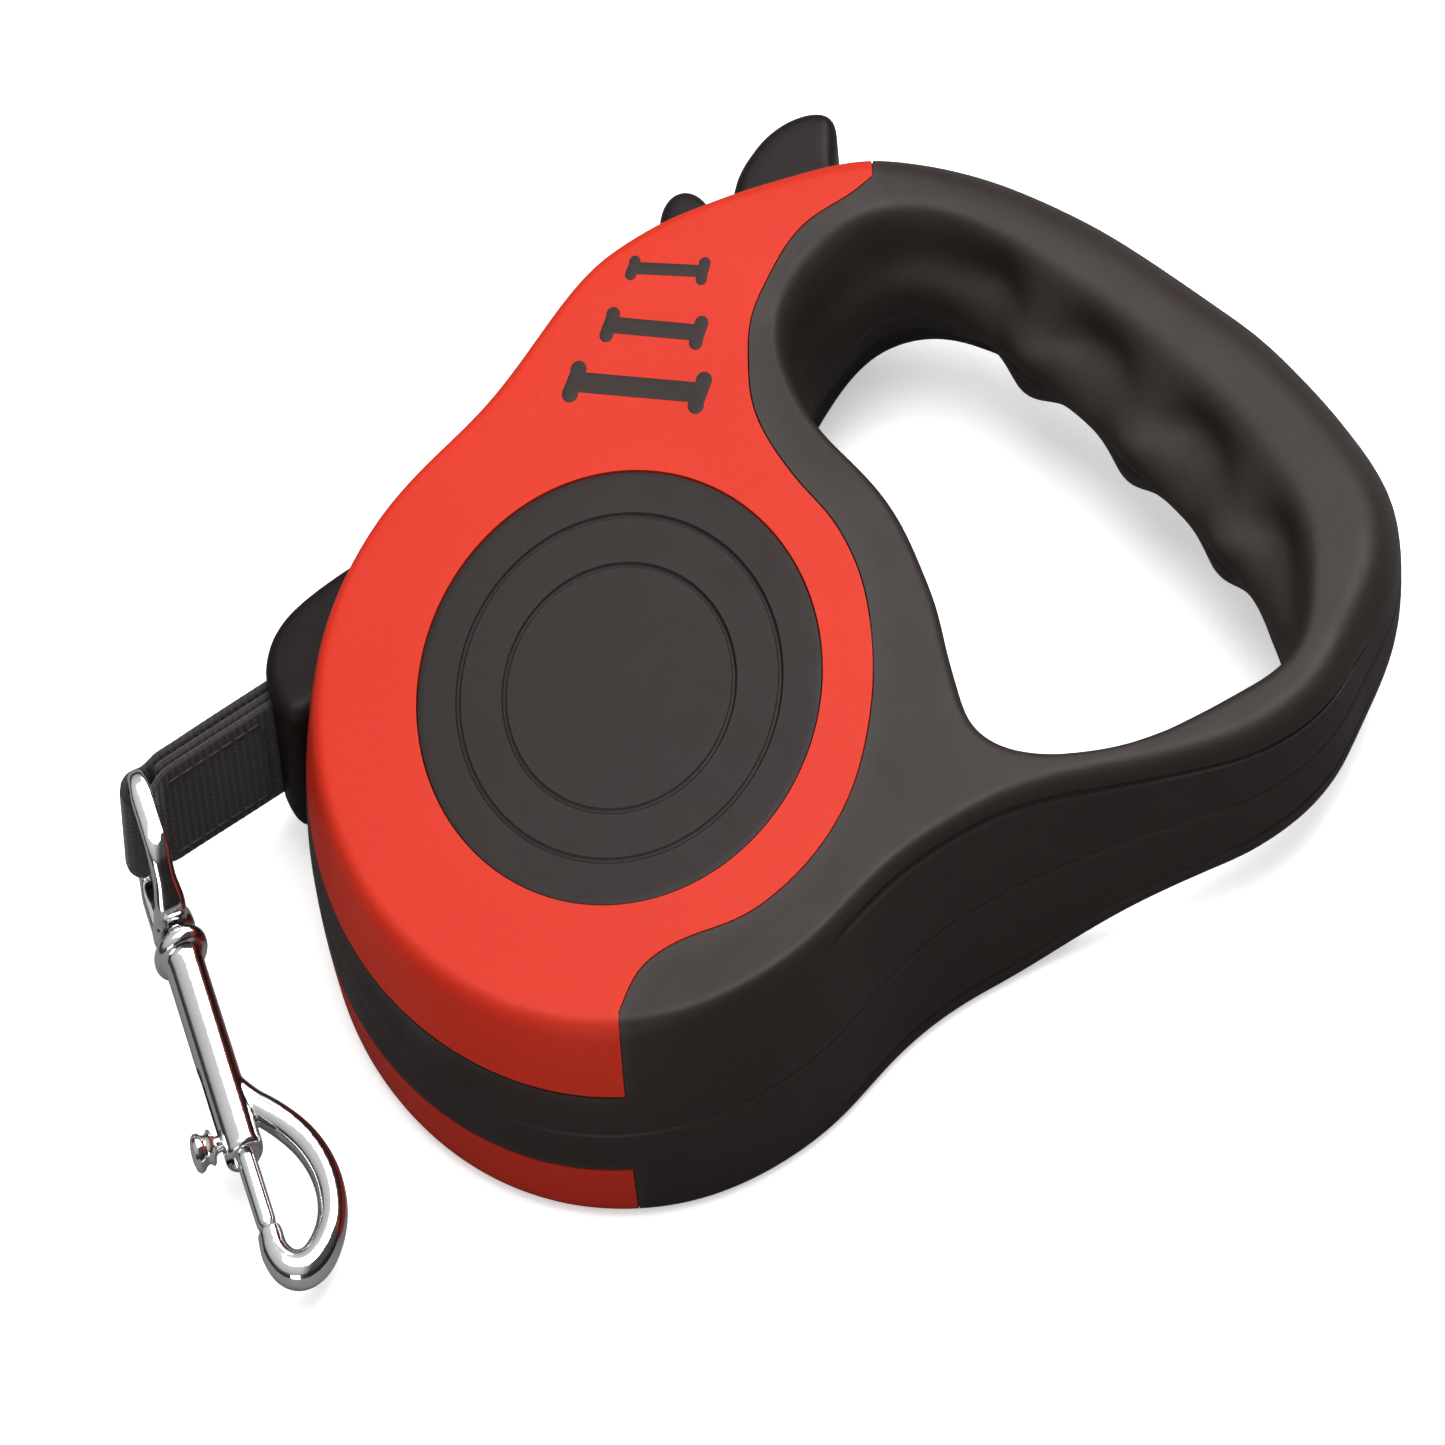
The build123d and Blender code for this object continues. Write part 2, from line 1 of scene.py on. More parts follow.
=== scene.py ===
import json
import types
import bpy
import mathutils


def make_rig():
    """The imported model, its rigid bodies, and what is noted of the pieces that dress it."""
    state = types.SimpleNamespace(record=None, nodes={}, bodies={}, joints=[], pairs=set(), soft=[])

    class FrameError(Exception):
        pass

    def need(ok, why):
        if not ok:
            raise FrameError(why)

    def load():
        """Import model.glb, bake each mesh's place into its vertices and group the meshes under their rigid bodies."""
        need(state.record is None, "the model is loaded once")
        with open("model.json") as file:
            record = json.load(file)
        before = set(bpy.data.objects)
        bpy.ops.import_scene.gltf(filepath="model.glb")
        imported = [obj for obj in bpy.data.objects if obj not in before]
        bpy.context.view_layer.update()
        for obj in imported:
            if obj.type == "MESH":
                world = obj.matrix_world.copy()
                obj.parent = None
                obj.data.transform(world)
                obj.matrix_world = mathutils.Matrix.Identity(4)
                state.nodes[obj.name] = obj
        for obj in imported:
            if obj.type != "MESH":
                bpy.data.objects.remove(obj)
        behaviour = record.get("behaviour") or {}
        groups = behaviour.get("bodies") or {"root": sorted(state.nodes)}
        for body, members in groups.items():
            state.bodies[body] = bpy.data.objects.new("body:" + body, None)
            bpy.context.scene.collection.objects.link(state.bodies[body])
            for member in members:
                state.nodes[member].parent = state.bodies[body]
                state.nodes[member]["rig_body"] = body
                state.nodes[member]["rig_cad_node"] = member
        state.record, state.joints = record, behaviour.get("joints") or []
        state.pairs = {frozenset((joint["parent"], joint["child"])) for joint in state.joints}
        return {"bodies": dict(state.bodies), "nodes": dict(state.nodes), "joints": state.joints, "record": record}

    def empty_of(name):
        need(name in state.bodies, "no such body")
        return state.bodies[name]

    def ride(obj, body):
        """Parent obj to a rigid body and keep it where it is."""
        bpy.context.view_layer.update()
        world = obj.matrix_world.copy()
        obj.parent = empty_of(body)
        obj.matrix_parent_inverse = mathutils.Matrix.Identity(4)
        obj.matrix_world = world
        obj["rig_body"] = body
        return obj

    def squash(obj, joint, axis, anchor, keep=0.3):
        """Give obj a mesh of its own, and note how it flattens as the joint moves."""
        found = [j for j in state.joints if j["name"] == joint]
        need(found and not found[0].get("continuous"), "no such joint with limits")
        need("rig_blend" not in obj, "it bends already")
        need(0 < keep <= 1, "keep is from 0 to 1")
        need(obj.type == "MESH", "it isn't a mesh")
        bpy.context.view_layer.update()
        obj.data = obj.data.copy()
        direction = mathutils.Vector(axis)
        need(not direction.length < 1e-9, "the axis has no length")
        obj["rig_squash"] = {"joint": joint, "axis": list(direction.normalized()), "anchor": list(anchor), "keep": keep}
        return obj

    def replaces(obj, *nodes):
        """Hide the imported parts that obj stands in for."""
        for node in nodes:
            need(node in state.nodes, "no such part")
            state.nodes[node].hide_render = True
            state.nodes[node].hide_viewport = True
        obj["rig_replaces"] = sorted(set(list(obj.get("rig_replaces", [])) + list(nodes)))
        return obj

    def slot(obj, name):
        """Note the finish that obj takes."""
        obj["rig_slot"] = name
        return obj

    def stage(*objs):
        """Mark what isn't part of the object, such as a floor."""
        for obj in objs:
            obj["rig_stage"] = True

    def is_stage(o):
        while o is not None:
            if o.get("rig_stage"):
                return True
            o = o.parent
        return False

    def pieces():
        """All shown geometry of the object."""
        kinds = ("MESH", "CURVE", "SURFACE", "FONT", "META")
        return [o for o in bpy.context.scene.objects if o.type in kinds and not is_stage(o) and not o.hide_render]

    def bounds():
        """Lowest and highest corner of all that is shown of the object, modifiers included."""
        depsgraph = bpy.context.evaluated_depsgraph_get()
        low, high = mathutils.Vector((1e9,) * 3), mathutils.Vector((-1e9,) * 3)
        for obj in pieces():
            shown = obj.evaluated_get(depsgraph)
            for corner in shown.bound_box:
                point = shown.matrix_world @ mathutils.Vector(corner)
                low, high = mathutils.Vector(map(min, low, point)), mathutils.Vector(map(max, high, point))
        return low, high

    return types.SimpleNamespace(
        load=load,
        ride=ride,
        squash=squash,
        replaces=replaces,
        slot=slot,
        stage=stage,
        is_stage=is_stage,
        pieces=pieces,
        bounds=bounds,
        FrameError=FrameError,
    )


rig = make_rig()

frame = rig.load()

import json
import math

import bpy
import numpy as np
from mathutils import Matrix, Vector
from mathutils.geometry import delaunay_2d_cdt

cad_lo, cad_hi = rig.bounds()
MM = 0.001
scene = bpy.context.scene

# --------------------------------------------------------------------------
# casing design curves, millimetres, row frame (clockwise seen from the front)
# x, y, edge rounding in the plane, edge rounding in depth
# --------------------------------------------------------------------------
OUT = [(-48.5, 0, 2.4, 2.6), (-46.9, 12.4, 2.4, 2.6), (-42.6, 23.2, 2.4, 2.6), (-36.0, 32.4, 2.4, 2.6),
       (-27.6, 39.4, 2.4, 2.6), (-19.0, 43.9, 2.4, 2.6), (-9.7, 46.6, 2.4, 2.6), (0.2, 48.2, 2.4, 2.6),
       (10.3, 50.8, 2.4, 2.6), (20.2, 54.2, 2.4, 2.6), (25.2, 55.4, 2.4, 2.6), (30.3, 55.8, 2.4, 2.6),
       (35.4, 55.4, 2.4, 2.6), (40.4, 54.6, 2.5, 2.7), (45.8, 54.0, 2.7, 2.8), (51.0, 53.5, 2.9, 3.0),
       (56.4, 53.1, 3.2, 3.2), (62.0, 52.4, 3.7, 3.6), (67.4, 50.9, 4.6, 4.4), (73.0, 48.1, 5.7, 5.4),
       (78.4, 44.3, 6.7, 6.4), (83.8, 39.5, 7.5, 7.3), (88.9, 33.8, 8.2, 8.0), (93.9, 27.2, 8.8, 8.5),
       (99.0, 18.8, 9.3, 8.7), (104.0, 9.4, 9.5, 8.8), (107.5, 2.2, 9.5, 8.8), (110.2, -5.4, 9.5, 8.8),
       (112.3, -13.4, 9.4, 8.8), (113.4, -21.0, 9.0, 8.7), (113.1, -28.4, 7.6, 8.0), (111.6, -33.2, 6.6, 7.2),
       (109.2, -37.4, 5.8, 6.4), (106.0, -40.9, 5.0, 5.6), (102.1, -43.8, 4.5, 5.0), (98.0, -46.5, 4.0, 4.4),
       (92.9, -49.6, 3.6, 3.9), (87.2, -51.4, 3.2, 3.5), (81.6, -51.8, 2.9, 3.2), (76.2, -51.3, 2.6, 2.9),
       (70.9, -50.1, 2.3, 2.6), (60.7, -47.5, 2.0, 2.3), (50.2, -45.1, 1.8, 2.1), (39.9, -43.6, 1.7, 1.9),
       (30.0, -43.2, 1.7, 1.8), (20.2, -44.6, 1.7, 1.8), (10.3, -47.4, 1.7, 1.8), (0.0, -48.5, 1.7, 1.8),
       (-12.6, -46.9, 1.8, 2.0), (-24.3, -42.0, 2.4, 2.6), (-34.3, -34.3, 2.4, 2.6), (-42.0, -24.3, 2.4, 2.6),
       (-46.9, -12.6, 2.4, 2.6)]
# x, y, rounding in the plane, rounding in depth, share of the finger-grip profile
HOL = [(42.9, -26, 1.9, 2.0, 0), (42.5, -30.3, 1.9, 2.0, 0), (43.7, -34.3, 2.0, 2.1, 0), (46.9, -37.8, 2.0, 2.2, 0),
       (51.6, -40.4, 1.9, 2.2, 0), (57.9, -42.4, 1.8, 2.2, 0), (64.2, -43.5, 1.8, 2.2, 0), (71.5, -43.9, 2.2, 2.4, 0),
       (79.6, -43.8, 2.8, 3.0, 0), (84.7, -43.1, 3.4, 3.6, 0.1), (87.8, -41.4, 4.4, 4.6, 0.4),
       (89.4, -38.6, 6.4, 6.0, 0.7), (90.0, -34.8, 9.4, 8.0, 0.95), (90.1, -29.5, 11.0, 8.6, 1),
       (89.2, -22.5, 12.0, 9, 1), (87.1, -14.0, 12.5, 9, 1), (84.5, -5.4, 12.6, 9, 1), (82.0, 3.0, 11.6, 9, 1),
       (79.6, 9.8, 10.8, 9, 1), (77.3, 15.8, 9.9, 9, 1), (74.7, 22.0, 9.0, 9, 1), (71.8, 28.2, 8.0, 9, 1),
       (67.4, 34.2, 6.6, 9, 0.95), (61.4, 36.9, 6.4, 7.0, 0.8), (54.8, 36.1, 6.4, 5.6, 0.6), (49.0, 34.0, 5.2, 5.4, 0.5),
       (45.1, 30.0, 4.0, 6.0, 0.5), (43.6, 23.9, 4.0, 5.6, 0.5), (43.5, 17.5, 3.4, 4.6, 0.4), (44.8, 10.5, 2.5, 3, 0.2),
       (46.1, 4.0, 2.0, 2.1, 0), (46.5, -2.0, 1.9, 2.0, 0), (46.2, -8.0, 1.9, 2.0, 0), (45.5, -14.0, 1.9, 2.0, 0),
       (44.1, -20.0, 1.9, 2.0, 0)]
# per point of OUT: shift of the mid-plane outline, crown of the wall towards the front, towards the rear
CROWN = [(-0.1, 2.1, 1.1), (-0.3, 2.0, 1.1), (-0.3, 2.0, 1.1), (-0.1, 2.1, 1.1), (0, 2.2, 1.2), (0, 2.2, 1.2),
         (0, 2.2, 1.2), (0.3, 1.9, 1.1), (0.9, 1.4, 0.9), (1.0, 1.0, 0.7), (0.8, 0.8, 0.6), (0.5, 0.8, 0.6),
         (0.5, 0.6, 0.5), (0.5, 0.6, 0.5), (0.5, 0.6, 0.5), (0.5, 0.6, 0.5), (0.4, 0.5, 0.4), (0.3, 0.4, 0.3),
         (0.2, 0.3, 0.2)] + [(0, 0.1, 0.1)] * 24 + [(0.1, 0.2, 0.1), (0.3, 0.6, 0.3), (0.6, 1.3, 0.6), (0.9, 1.9, 0.9),
         (1.0, 2.2, 1.0), (1.0, 2.2, 1.0), (1.0, 2.2, 1.0), (0.7, 2.2, 1.0), (0.3, 2.2, 1.0), (0.0, 2.1, 1.1)]
EDGE = [(66.5, 46.6), (62, 45.6), (55, 44.6), (50, 42.6), (45, 39.2), (40, 35), (37, 30),
        (35, 25), (34.5, 20), (35, 15), (36, 10), (37.3, 5), (37.8, 0), (37.5, -5),
        (36, -11), (33, -18), (28, -25.5), (22, -31.5), (15, -35.5), (8, -37.5),
        (0, -37.8), (-5.4, -36.6), (-11.2, -35.8), (-15.6, -36.5), (-18.7, -38.4)]
MID = 15.0
BAND = 20.93
SEAM = 0.2
MEDAL_R = 30.0


def cubic(knots, vals, closed):
    """A smooth curve through vals at knots; returns a function of the parameter."""
    knots, vals = np.asarray(knots, float), np.asarray(vals, float)
    n = len(vals)
    if closed:
        h = np.diff(knots)
        A, B = np.zeros((n, n)), np.zeros((n, vals.shape[1]))
        for i in range(n):
            hp, hn = h[i - 1], h[i]
            A[i, (i - 1) % n] += hn
            A[i, i] += 2 * (hp + hn)
            A[i, (i + 1) % n] += hp
            B[i] = 3 * (hn / hp * (vals[i] - vals[i - 1]) + hp / hn * (vals[(i + 1) % n] - vals[i]))
        m = np.linalg.solve(A, B)
        vals, m = np.vstack([vals, vals[:1]]), np.vstack([m, m[:1]])
    else:
        h = np.diff(knots)
        A, B = np.zeros((n, n)), np.zeros((n, vals.shape[1]))
        A[0, 0], A[0, 1], B[0] = 2, 1, 3 * (vals[1] - vals[0]) / h[0]
        A[-1, -1], A[-1, -2], B[-1] = 2, 1, 3 * (vals[-1] - vals[-2]) / h[-1]
        for i in range(1, n - 1):
            A[i, i - 1], A[i, i], A[i, i + 1] = h[i], 2 * (h[i - 1] + h[i]), h[i - 1]
            B[i] = 3 * (h[i] / h[i - 1] * (vals[i] - vals[i - 1]) + h[i - 1] / h[i] * (vals[i + 1] - vals[i]))
        m = np.linalg.solve(A, B)

    def f(t):
        t = np.atleast_1d(np.asarray(t, float))
        if closed:
            t = knots[0] + np.mod(t - knots[0], knots[-1] - knots[0])
        i = np.clip(np.searchsorted(knots, t, side="right") - 1, 0, len(knots) - 2)
        hh = knots[i + 1] - knots[i]
        u = ((t - knots[i]) / hh)[:, None]
        hh = hh[:, None]
        return ((2 * u**3 - 3 * u**2 + 1) * vals[i] + (u**3 - 2 * u**2 + u) * hh * m[i]
                + (-2 * u**3 + 3 * u**2) * vals[i + 1] + (u**3 - u**2) * hh * m[i + 1])
    return f


def chord(P, closed):
    P = np.asarray(P, float)[:, :2]
    if closed:
        P = np.vstack([P, P[:1]])
    return np.r_[0, np.cumsum(np.linalg.norm(np.diff(P, axis=0), axis=1))]


out_t, hol_t = chord(OUT, True), chord(HOL, True)
assert len(CROWN) == len(OUT)
_xy = np.array([p[:2] for p in OUT], float)
_d = np.roll(_xy, -1, axis=0) - np.roll(_xy, 1, axis=0)
_d /= np.linalg.norm(_d, axis=1)[:, None]
_xy = _xy + np.c_[-_d[:, 1], _d[:, 0]] * np.array([c[0] for c in CROWN])[:, None]
out_xy = cubic(out_t, _xy, True)
hol_xy = cubic(hol_t, [p[:2] for p in HOL], True)


def lerp_vals(P, t_knots, col, closed=True):
    v = [p[col] for p in P] + ([P[0][col]] if closed else [])
    def f(t):
        L = t_knots[-1]
        a = np.interp(np.mod(t, L), t_knots, v)
        acc = np.zeros_like(a)
        for k in (-3, -2, -1, 0, 1, 2, 3):
            acc += np.interp(np.mod(t + k * 1.6, L), t_knots, v)
        return acc / 7
    return f


TOPX = [30, 38, 43, 48, 54, 60, 65, 70, 76, 82, 89, 96, 106, 118]
TOPZ = [30, 30, 29.7, 29.0, 27.85, 26.7, 26.0, 25.5, 25.1, 24.8, 24.55, 24.4, 24.25, 24.2]
top_f = cubic(TOPX, np.array(TOPZ)[:, None], False)


def ztop(x):
    x = np.asarray(x, float)
    return np.where(x <= 38, 30.0, top_f(np.clip(x, 30, 118))[:, 0].reshape(x.shape) if x.ndim else top_f(x)[0, 0])


def normals_of(f, t, sign):
    e = 0.4
    d = f(t + e) - f(t - e)
    d /= np.linalg.norm(d, axis=1)[:, None]
    return np.c_[d[:, 1], -d[:, 0]] * sign


def smooth01(x):
    x = np.clip(x, 0, 1)
    return x * x * (3 - 2 * x)


def nearest_t(f, L, p):
    t = np.linspace(0, L, 4000)
    q = f(t)
    return t[np.argmin(((q - np.array(p)) ** 2).sum(1))]


def inside(loops, pts):
    """Even-odd test of points against closed loops."""
    res = np.zeros(len(pts), bool)
    x, y = pts[:, 0], pts[:, 1]
    for L in loops:
        a = np.asarray(L)
        b = np.roll(a, -1, axis=0)
        for (x0, y0), (x1, y1) in zip(a, b):
            if y0 == y1:
                continue
            c = ((y0 > y) != (y1 > y)) & (x < (x1 - x0) * (y - y0) / (y1 - y0) + x0)
            res ^= c
    return res


def fill(loops, step, margin=0.45):
    """Triangulates the area between loops with an even inner grid: points and triangles."""
    P = np.vstack([np.asarray(L, float) for L in loops])
    E, k = [], 0
    for L in loops:
        n = len(L)
        E += [(k + i, k + (i + 1) % n) for i in range(n)]
        k += n
    lo, hi = P.min(0), P.max(0)
    rows = []
    ys = np.arange(lo[1], hi[1], step * 0.866)
    for j, y in enumerate(ys):
        xs = np.arange(lo[0] + (j % 2) * step / 2, hi[0], step)
        rows.append(np.c_[xs, np.full(len(xs), y)])
    G = np.vstack(rows)
    G = G[inside(loops, G)]
    dens = np.vstack([np.vstack([np.asarray(L), (np.asarray(L) + np.roll(np.asarray(L), -1, axis=0)) / 2]) for L in loops])
    keepm = np.ones(len(G), bool)
    for i in range(0, len(G), 500):
        d = ((G[i:i + 500, None, :] - dens[None]) ** 2).sum(2).min(1)
        keepm[i:i + 500] = d > (step * margin) ** 2
    G = G[keepm]
    V = np.vstack([P, G])
    res = delaunay_2d_cdt([Vector(v) for v in V], E, [], 0, 1e-7)
    VV = np.array([list(v) for v in res[0]])
    F = np.array([f for f in res[2] if len(f) == 3])
    c = VV[F].mean(1)
    F = F[inside(loops, c)]
    a = VV[F]
    area = ((a[:, 1, 0] - a[:, 0, 0]) * (a[:, 2, 1] - a[:, 0, 1]) - (a[:, 1, 1] - a[:, 0, 1]) * (a[:, 2, 0] - a[:, 0, 0]))
    F = F[np.abs(area) > 1e-9]
    area = area[np.abs(area) > 1e-9]
    F[area < 0] = F[area < 0][:, ::-1]
    return VV, F


class Mesh:
    """Collects points (mm) and faces, then makes one welded Blender object."""

    def __init__(self):
        self.v, self.f, self.n = [], [], 0

    def add(self, V, F):
        V = np.asarray(V, float).reshape(-1, 3)
        self.v.append(V)
        self.f += [tuple(int(i) + self.n for i in f) for f in F]
        self.n += len(V)

    def grid(self, R, closed=False, flip=False, skip=None):
        """R[row][col] points; quads between rows."""
        R = np.asarray(R, float)
        nr, nc = R.shape[:2]
        F = []
        for i in range(nr - 1):
            for j in range(nc if closed else nc - 1):
                if skip is not None and skip(i, j):
                    continue
                k = (j + 1) % nc
                q = (i * nc + j, i * nc + k, (i + 1) * nc + k, (i + 1) * nc + j)
                F.append(q[::-1] if flip else q)
        self.add(R.reshape(-1, 3), F)

    def build(self, name, weld=0.004):
        V = np.vstack(self.v)
        me = bpy.data.meshes.new(name)
        me.from_pydata([tuple(p * MM) for p in V], [], self.f)
        import bmesh
        bm = bmesh.new()
        bm.from_mesh(me)
        bmesh.ops.remove_doubles(bm, verts=bm.verts, dist=weld * MM)
        bmesh.ops.dissolve_degenerate(bm, edges=bm.edges, dist=1e-7)
        loose = [v for v in bm.verts if not v.link_faces]
        bmesh.ops.delete(bm, geom=loose, context="VERTS")
        bm.to_mesh(me)
        bm.free()
        me.validate()
        o = bpy.data.objects.new(name, me)
        scene.collection.objects.link(o)
        return o


def mirror_z(o, name):
    """The same shell on the other side of the parting plane."""
    me = o.data.copy()
    me.name = name
    co = np.zeros(len(me.vertices) * 3)
    me.vertices.foreach_get("co", co)
    co = co.reshape(-1, 3)
    co[:, 2] = 2 * MID * MM - co[:, 2]
    me.vertices.foreach_set("co", co.ravel())
    me.flip_normals()
    me.update()
    m = bpy.data.objects.new(name, me)
    scene.collection.objects.link(m)
    return m


def smooth(o, angle=40):
    o.data.polygons.foreach_set("use_smooth", [True] * len(o.data.polygons))
    bpy.context.view_layer.objects.active = o
    for x in bpy.context.selected_objects:
        x.select_set(False)
    o.select_set(True)
    try:
        bpy.ops.object.shade_smooth_by_angle(angle=math.radians(angle))
    except Exception:
        pass
    o.select_set(False)
    return o


def apply_mods(o):
    dg = bpy.context.evaluated_depsgraph_get()
    me = bpy.data.meshes.new_from_object(o.evaluated_get(dg))
    o.modifiers.clear()
    o.data = me
    return o


# --------------------------------------------------------------------------
# materials: every one is procedural
# --------------------------------------------------------------------------
def new_mat(name):
    m = bpy.data.materials.new(name)
    m.use_nodes = True
    nt = m.node_tree
    nt.nodes.clear()
    out = nt.nodes.new("ShaderNodeOutputMaterial")
    b = nt.nodes.new("ShaderNodeBsdfPrincipled")
    nt.links.new(b.outputs[0], out.inputs[0])
    tc = nt.nodes.new("ShaderNodeTexCoord")
    return m, nt, b, tc


def noise(nt, tc, scale, detail=4, rough=0.55, coord="Object", vec=None):
    n = nt.nodes.new("ShaderNodeTexNoise")
    n.inputs["Scale"].default_value = scale
    n.inputs["Detail"].default_value = detail
    n.inputs["Roughness"].default_value = rough
    nt.links.new(vec if vec is not None else tc.outputs[coord], n.inputs["Vector"])
    return n.outputs[0]


def ramp(nt, fac, stops):
    r = nt.nodes.new("ShaderNodeValToRGB")
    while len(r.color_ramp.elements) < len(stops):
        r.color_ramp.elements.new(0.5)
    for e, (p, c) in zip(r.color_ramp.elements, stops):
        e.position = p
        e.color = c if len(c) == 4 else (*c, 1)
    nt.links.new(fac, r.inputs[0])
    return r.outputs[0]


def maprange(nt, v, a, b, c, d):
    n = nt.nodes.new("ShaderNodeMapRange")
    n.inputs[1].default_value, n.inputs[2].default_value = a, b
    n.inputs[3].default_value, n.inputs[4].default_value = c, d
    nt.links.new(v, n.inputs[0])
    return n.outputs[0]


def math_node(nt, op, a, b=None):
    n = nt.nodes.new("ShaderNodeMath")
    n.operation = op
    for i, x in enumerate((a, b)):
        if x is None:
            continue
        if isinstance(x, (int, float)):
            n.inputs[i].default_value = x
        else:
            nt.links.new(x, n.inputs[i])
    return n.outputs[0]


def bump(nt, height, strength, dist, normal=None):
    n = nt.nodes.new("ShaderNodeBump")
    n.inputs["Strength"].default_value = strength
    n.inputs["Distance"].default_value = dist
    nt.links.new(height, n.inputs["Height"])
    if normal is not None:
        nt.links.new(normal, n.inputs["Normal"])
    return n.outputs[0]


def mix_color(nt, fac, a, b, mode="MIX"):
    n = nt.nodes.new("ShaderNodeMix")
    n.data_type = "RGBA"
    n.blend_type = mode
    if isinstance(fac, (int, float)):
        n.inputs[0].default_value = fac
    else:
        nt.links.new(fac, n.inputs[0])
    for i, x in ((6, a), (7, b)):
        if isinstance(x, tuple):
            n.inputs[i].default_value = x if len(x) == 4 else (*x, 1)
        else:
            nt.links.new(x, n.inputs[i])
    return n.outputs[2]


# Lightens convex edges found by pointiness: partly wear, partly a painted highlight along the rounded edges.
def edge_wear_and_highlight(nt, dark, light, col, amount):
    g = nt.nodes.new("ShaderNodeNewGeometry")
    w = maprange(nt, g.outputs["Pointiness"], 0.51, 0.60, 0, amount)
    return mix_color(nt, w, col, light)


def plastic(name, dark, mid, light, rough=(0.42, 0.58), grain=0.25, grain_scale=2600, spec=0.45, wear=0.25, wearcol=None, coat=0.0, sheen=0.0, rings=()):
    m, nt, b, tc = new_mat(name)
    big = noise(nt, tc, 28, 3)
    fine = noise(nt, tc, grain_scale, 3, 0.6)
    col = ramp(nt, big, [(0.3, dark), (0.5, mid), (0.72, light)])
    speck = maprange(nt, noise(nt, tc, grain_scale * 0.55, 2), 0.35, 0.65, 0.96, 1.04)
    vv = nt.nodes.new("ShaderNodeHueSaturation")
    nt.links.new(col, vv.inputs["Color"])
    nt.links.new(speck, vv.inputs["Value"])
    col = vv.outputs[0]
    # Convex edges found by pointiness are mixed towards a lighter colour: partly wear, partly a painted highlight along
    # the rounded edges.
    if wear:
        col = mix_color(nt, maprange(nt, _pointy(nt), 0.505, 0.60, 0, wear), col, wearcol or light)
    # Painted shade: near-black lines at these radii darken the medallion's engraved grooves.
    if rings:
        sp = nt.nodes.new("ShaderNodeSeparateXYZ")
        nt.links.new(tc.outputs["Object"], sp.inputs[0])
        rad = math_node(nt, "SQRT", math_node(nt, "ADD", math_node(nt, "MULTIPLY", sp.outputs[0], sp.outputs[0]),
                                              math_node(nt, "MULTIPLY", sp.outputs[1], sp.outputs[1])), 0)
        for r0 in rings:
            off = math_node(nt, "ABSOLUTE", math_node(nt, "SUBTRACT", rad, r0), 0)
            col = mix_color(nt, maprange(nt, off, 0.00012, 0.00030, 1.0, 0.0), col, (0.0035, 0.0022, 0.0020))
    nt.links.new(col, b.inputs["Base Color"])
    r = maprange(nt, noise(nt, tc, 160, 5), 0.3, 0.7, rough[0], rough[1])
    nt.links.new(r, b.inputs["Roughness"])
    b.inputs["Specular IOR Level"].default_value = spec
    if coat:
        b.inputs["Coat Weight"].default_value = coat
        b.inputs["Coat Roughness"].default_value = 0.25
    if sheen:
        b.inputs["Sheen Weight"].default_value = sheen
        b.inputs["Sheen Roughness"].default_value = 0.4
    n1 = bump(nt, fine, grain, 0.00006)
    n2 = bump(nt, noise(nt, tc, 420, 2), grain * 0.25, 0.00005, n1)
    nt.links.new(n2, b.inputs["Normal"])
    return m


def _pointy(nt):
    return nt.nodes.new("ShaderNodeNewGeometry").outputs["Pointiness"]


def chrome_mat(name, base=(0.86, 0.86, 0.87), rough=0.06):
    m, nt, b, tc = new_mat(name)
    col = ramp(nt, noise(nt, tc, 90, 3), [(0.35, tuple(c * 0.93 for c in base)), (0.65, base)])
    nt.links.new(col, b.inputs["Base Color"])
    b.inputs["Metallic"].default_value = 1
    nt.links.new(maprange(nt, noise(nt, tc, 700, 6), 0.3, 0.75, rough, rough + 0.09), b.inputs["Roughness"])
    nt.links.new(bump(nt, noise(nt, tc, 240, 3), 0.04, 0.00008), b.inputs["Normal"])
    return m


def webbing_mat(name):
    """Woven nylon tape: ribs across the width and fine warp lines along it."""
    m, nt, b, tc = new_mat(name)
    sep = nt.nodes.new("ShaderNodeSeparateXYZ")
    nt.links.new(tc.outputs["Object"], sep.inputs[0])
    x, z = sep.outputs[0], sep.outputs[2]
    warp = math_node(nt, "SINE", math_node(nt, "MULTIPLY", z, 2 * math.pi / 0.0009))
    weft = math_node(nt, "SINE", math_node(nt, "MULTIPLY", x, 2 * math.pi / 0.00115))
    h = math_node(nt, "ADD", math_node(nt, "MULTIPLY", weft, 0.65), math_node(nt, "MULTIPLY", math_node(nt, "MULTIPLY", warp, weft), 0.35))
    h = math_node(nt, "ADD", h, math_node(nt, "MULTIPLY", noise(nt, tc, 3500, 3), 0.9))
    f = maprange(nt, h, -1.0, 1.6, 0, 1)
    # The colour follows the weave height: painted shade in the hollows between threads and a painted highlight on the
    # rib tops.
    col = ramp(nt, f, [(0.0, (0.0035, 0.0022, 0.0020)), (0.55, (0.0085, 0.0055, 0.0050)), (1.0, (0.024, 0.019, 0.018))])
    nt.links.new(col, b.inputs["Base Color"])
    b.inputs["Roughness"].default_value = 0.72
    b.inputs["Sheen Weight"].default_value = 0.25
    b.inputs["Specular IOR Level"].default_value = 0.35
    nt.links.new(bump(nt, f, 0.7, 0.00018), b.inputs["Normal"])
    return m


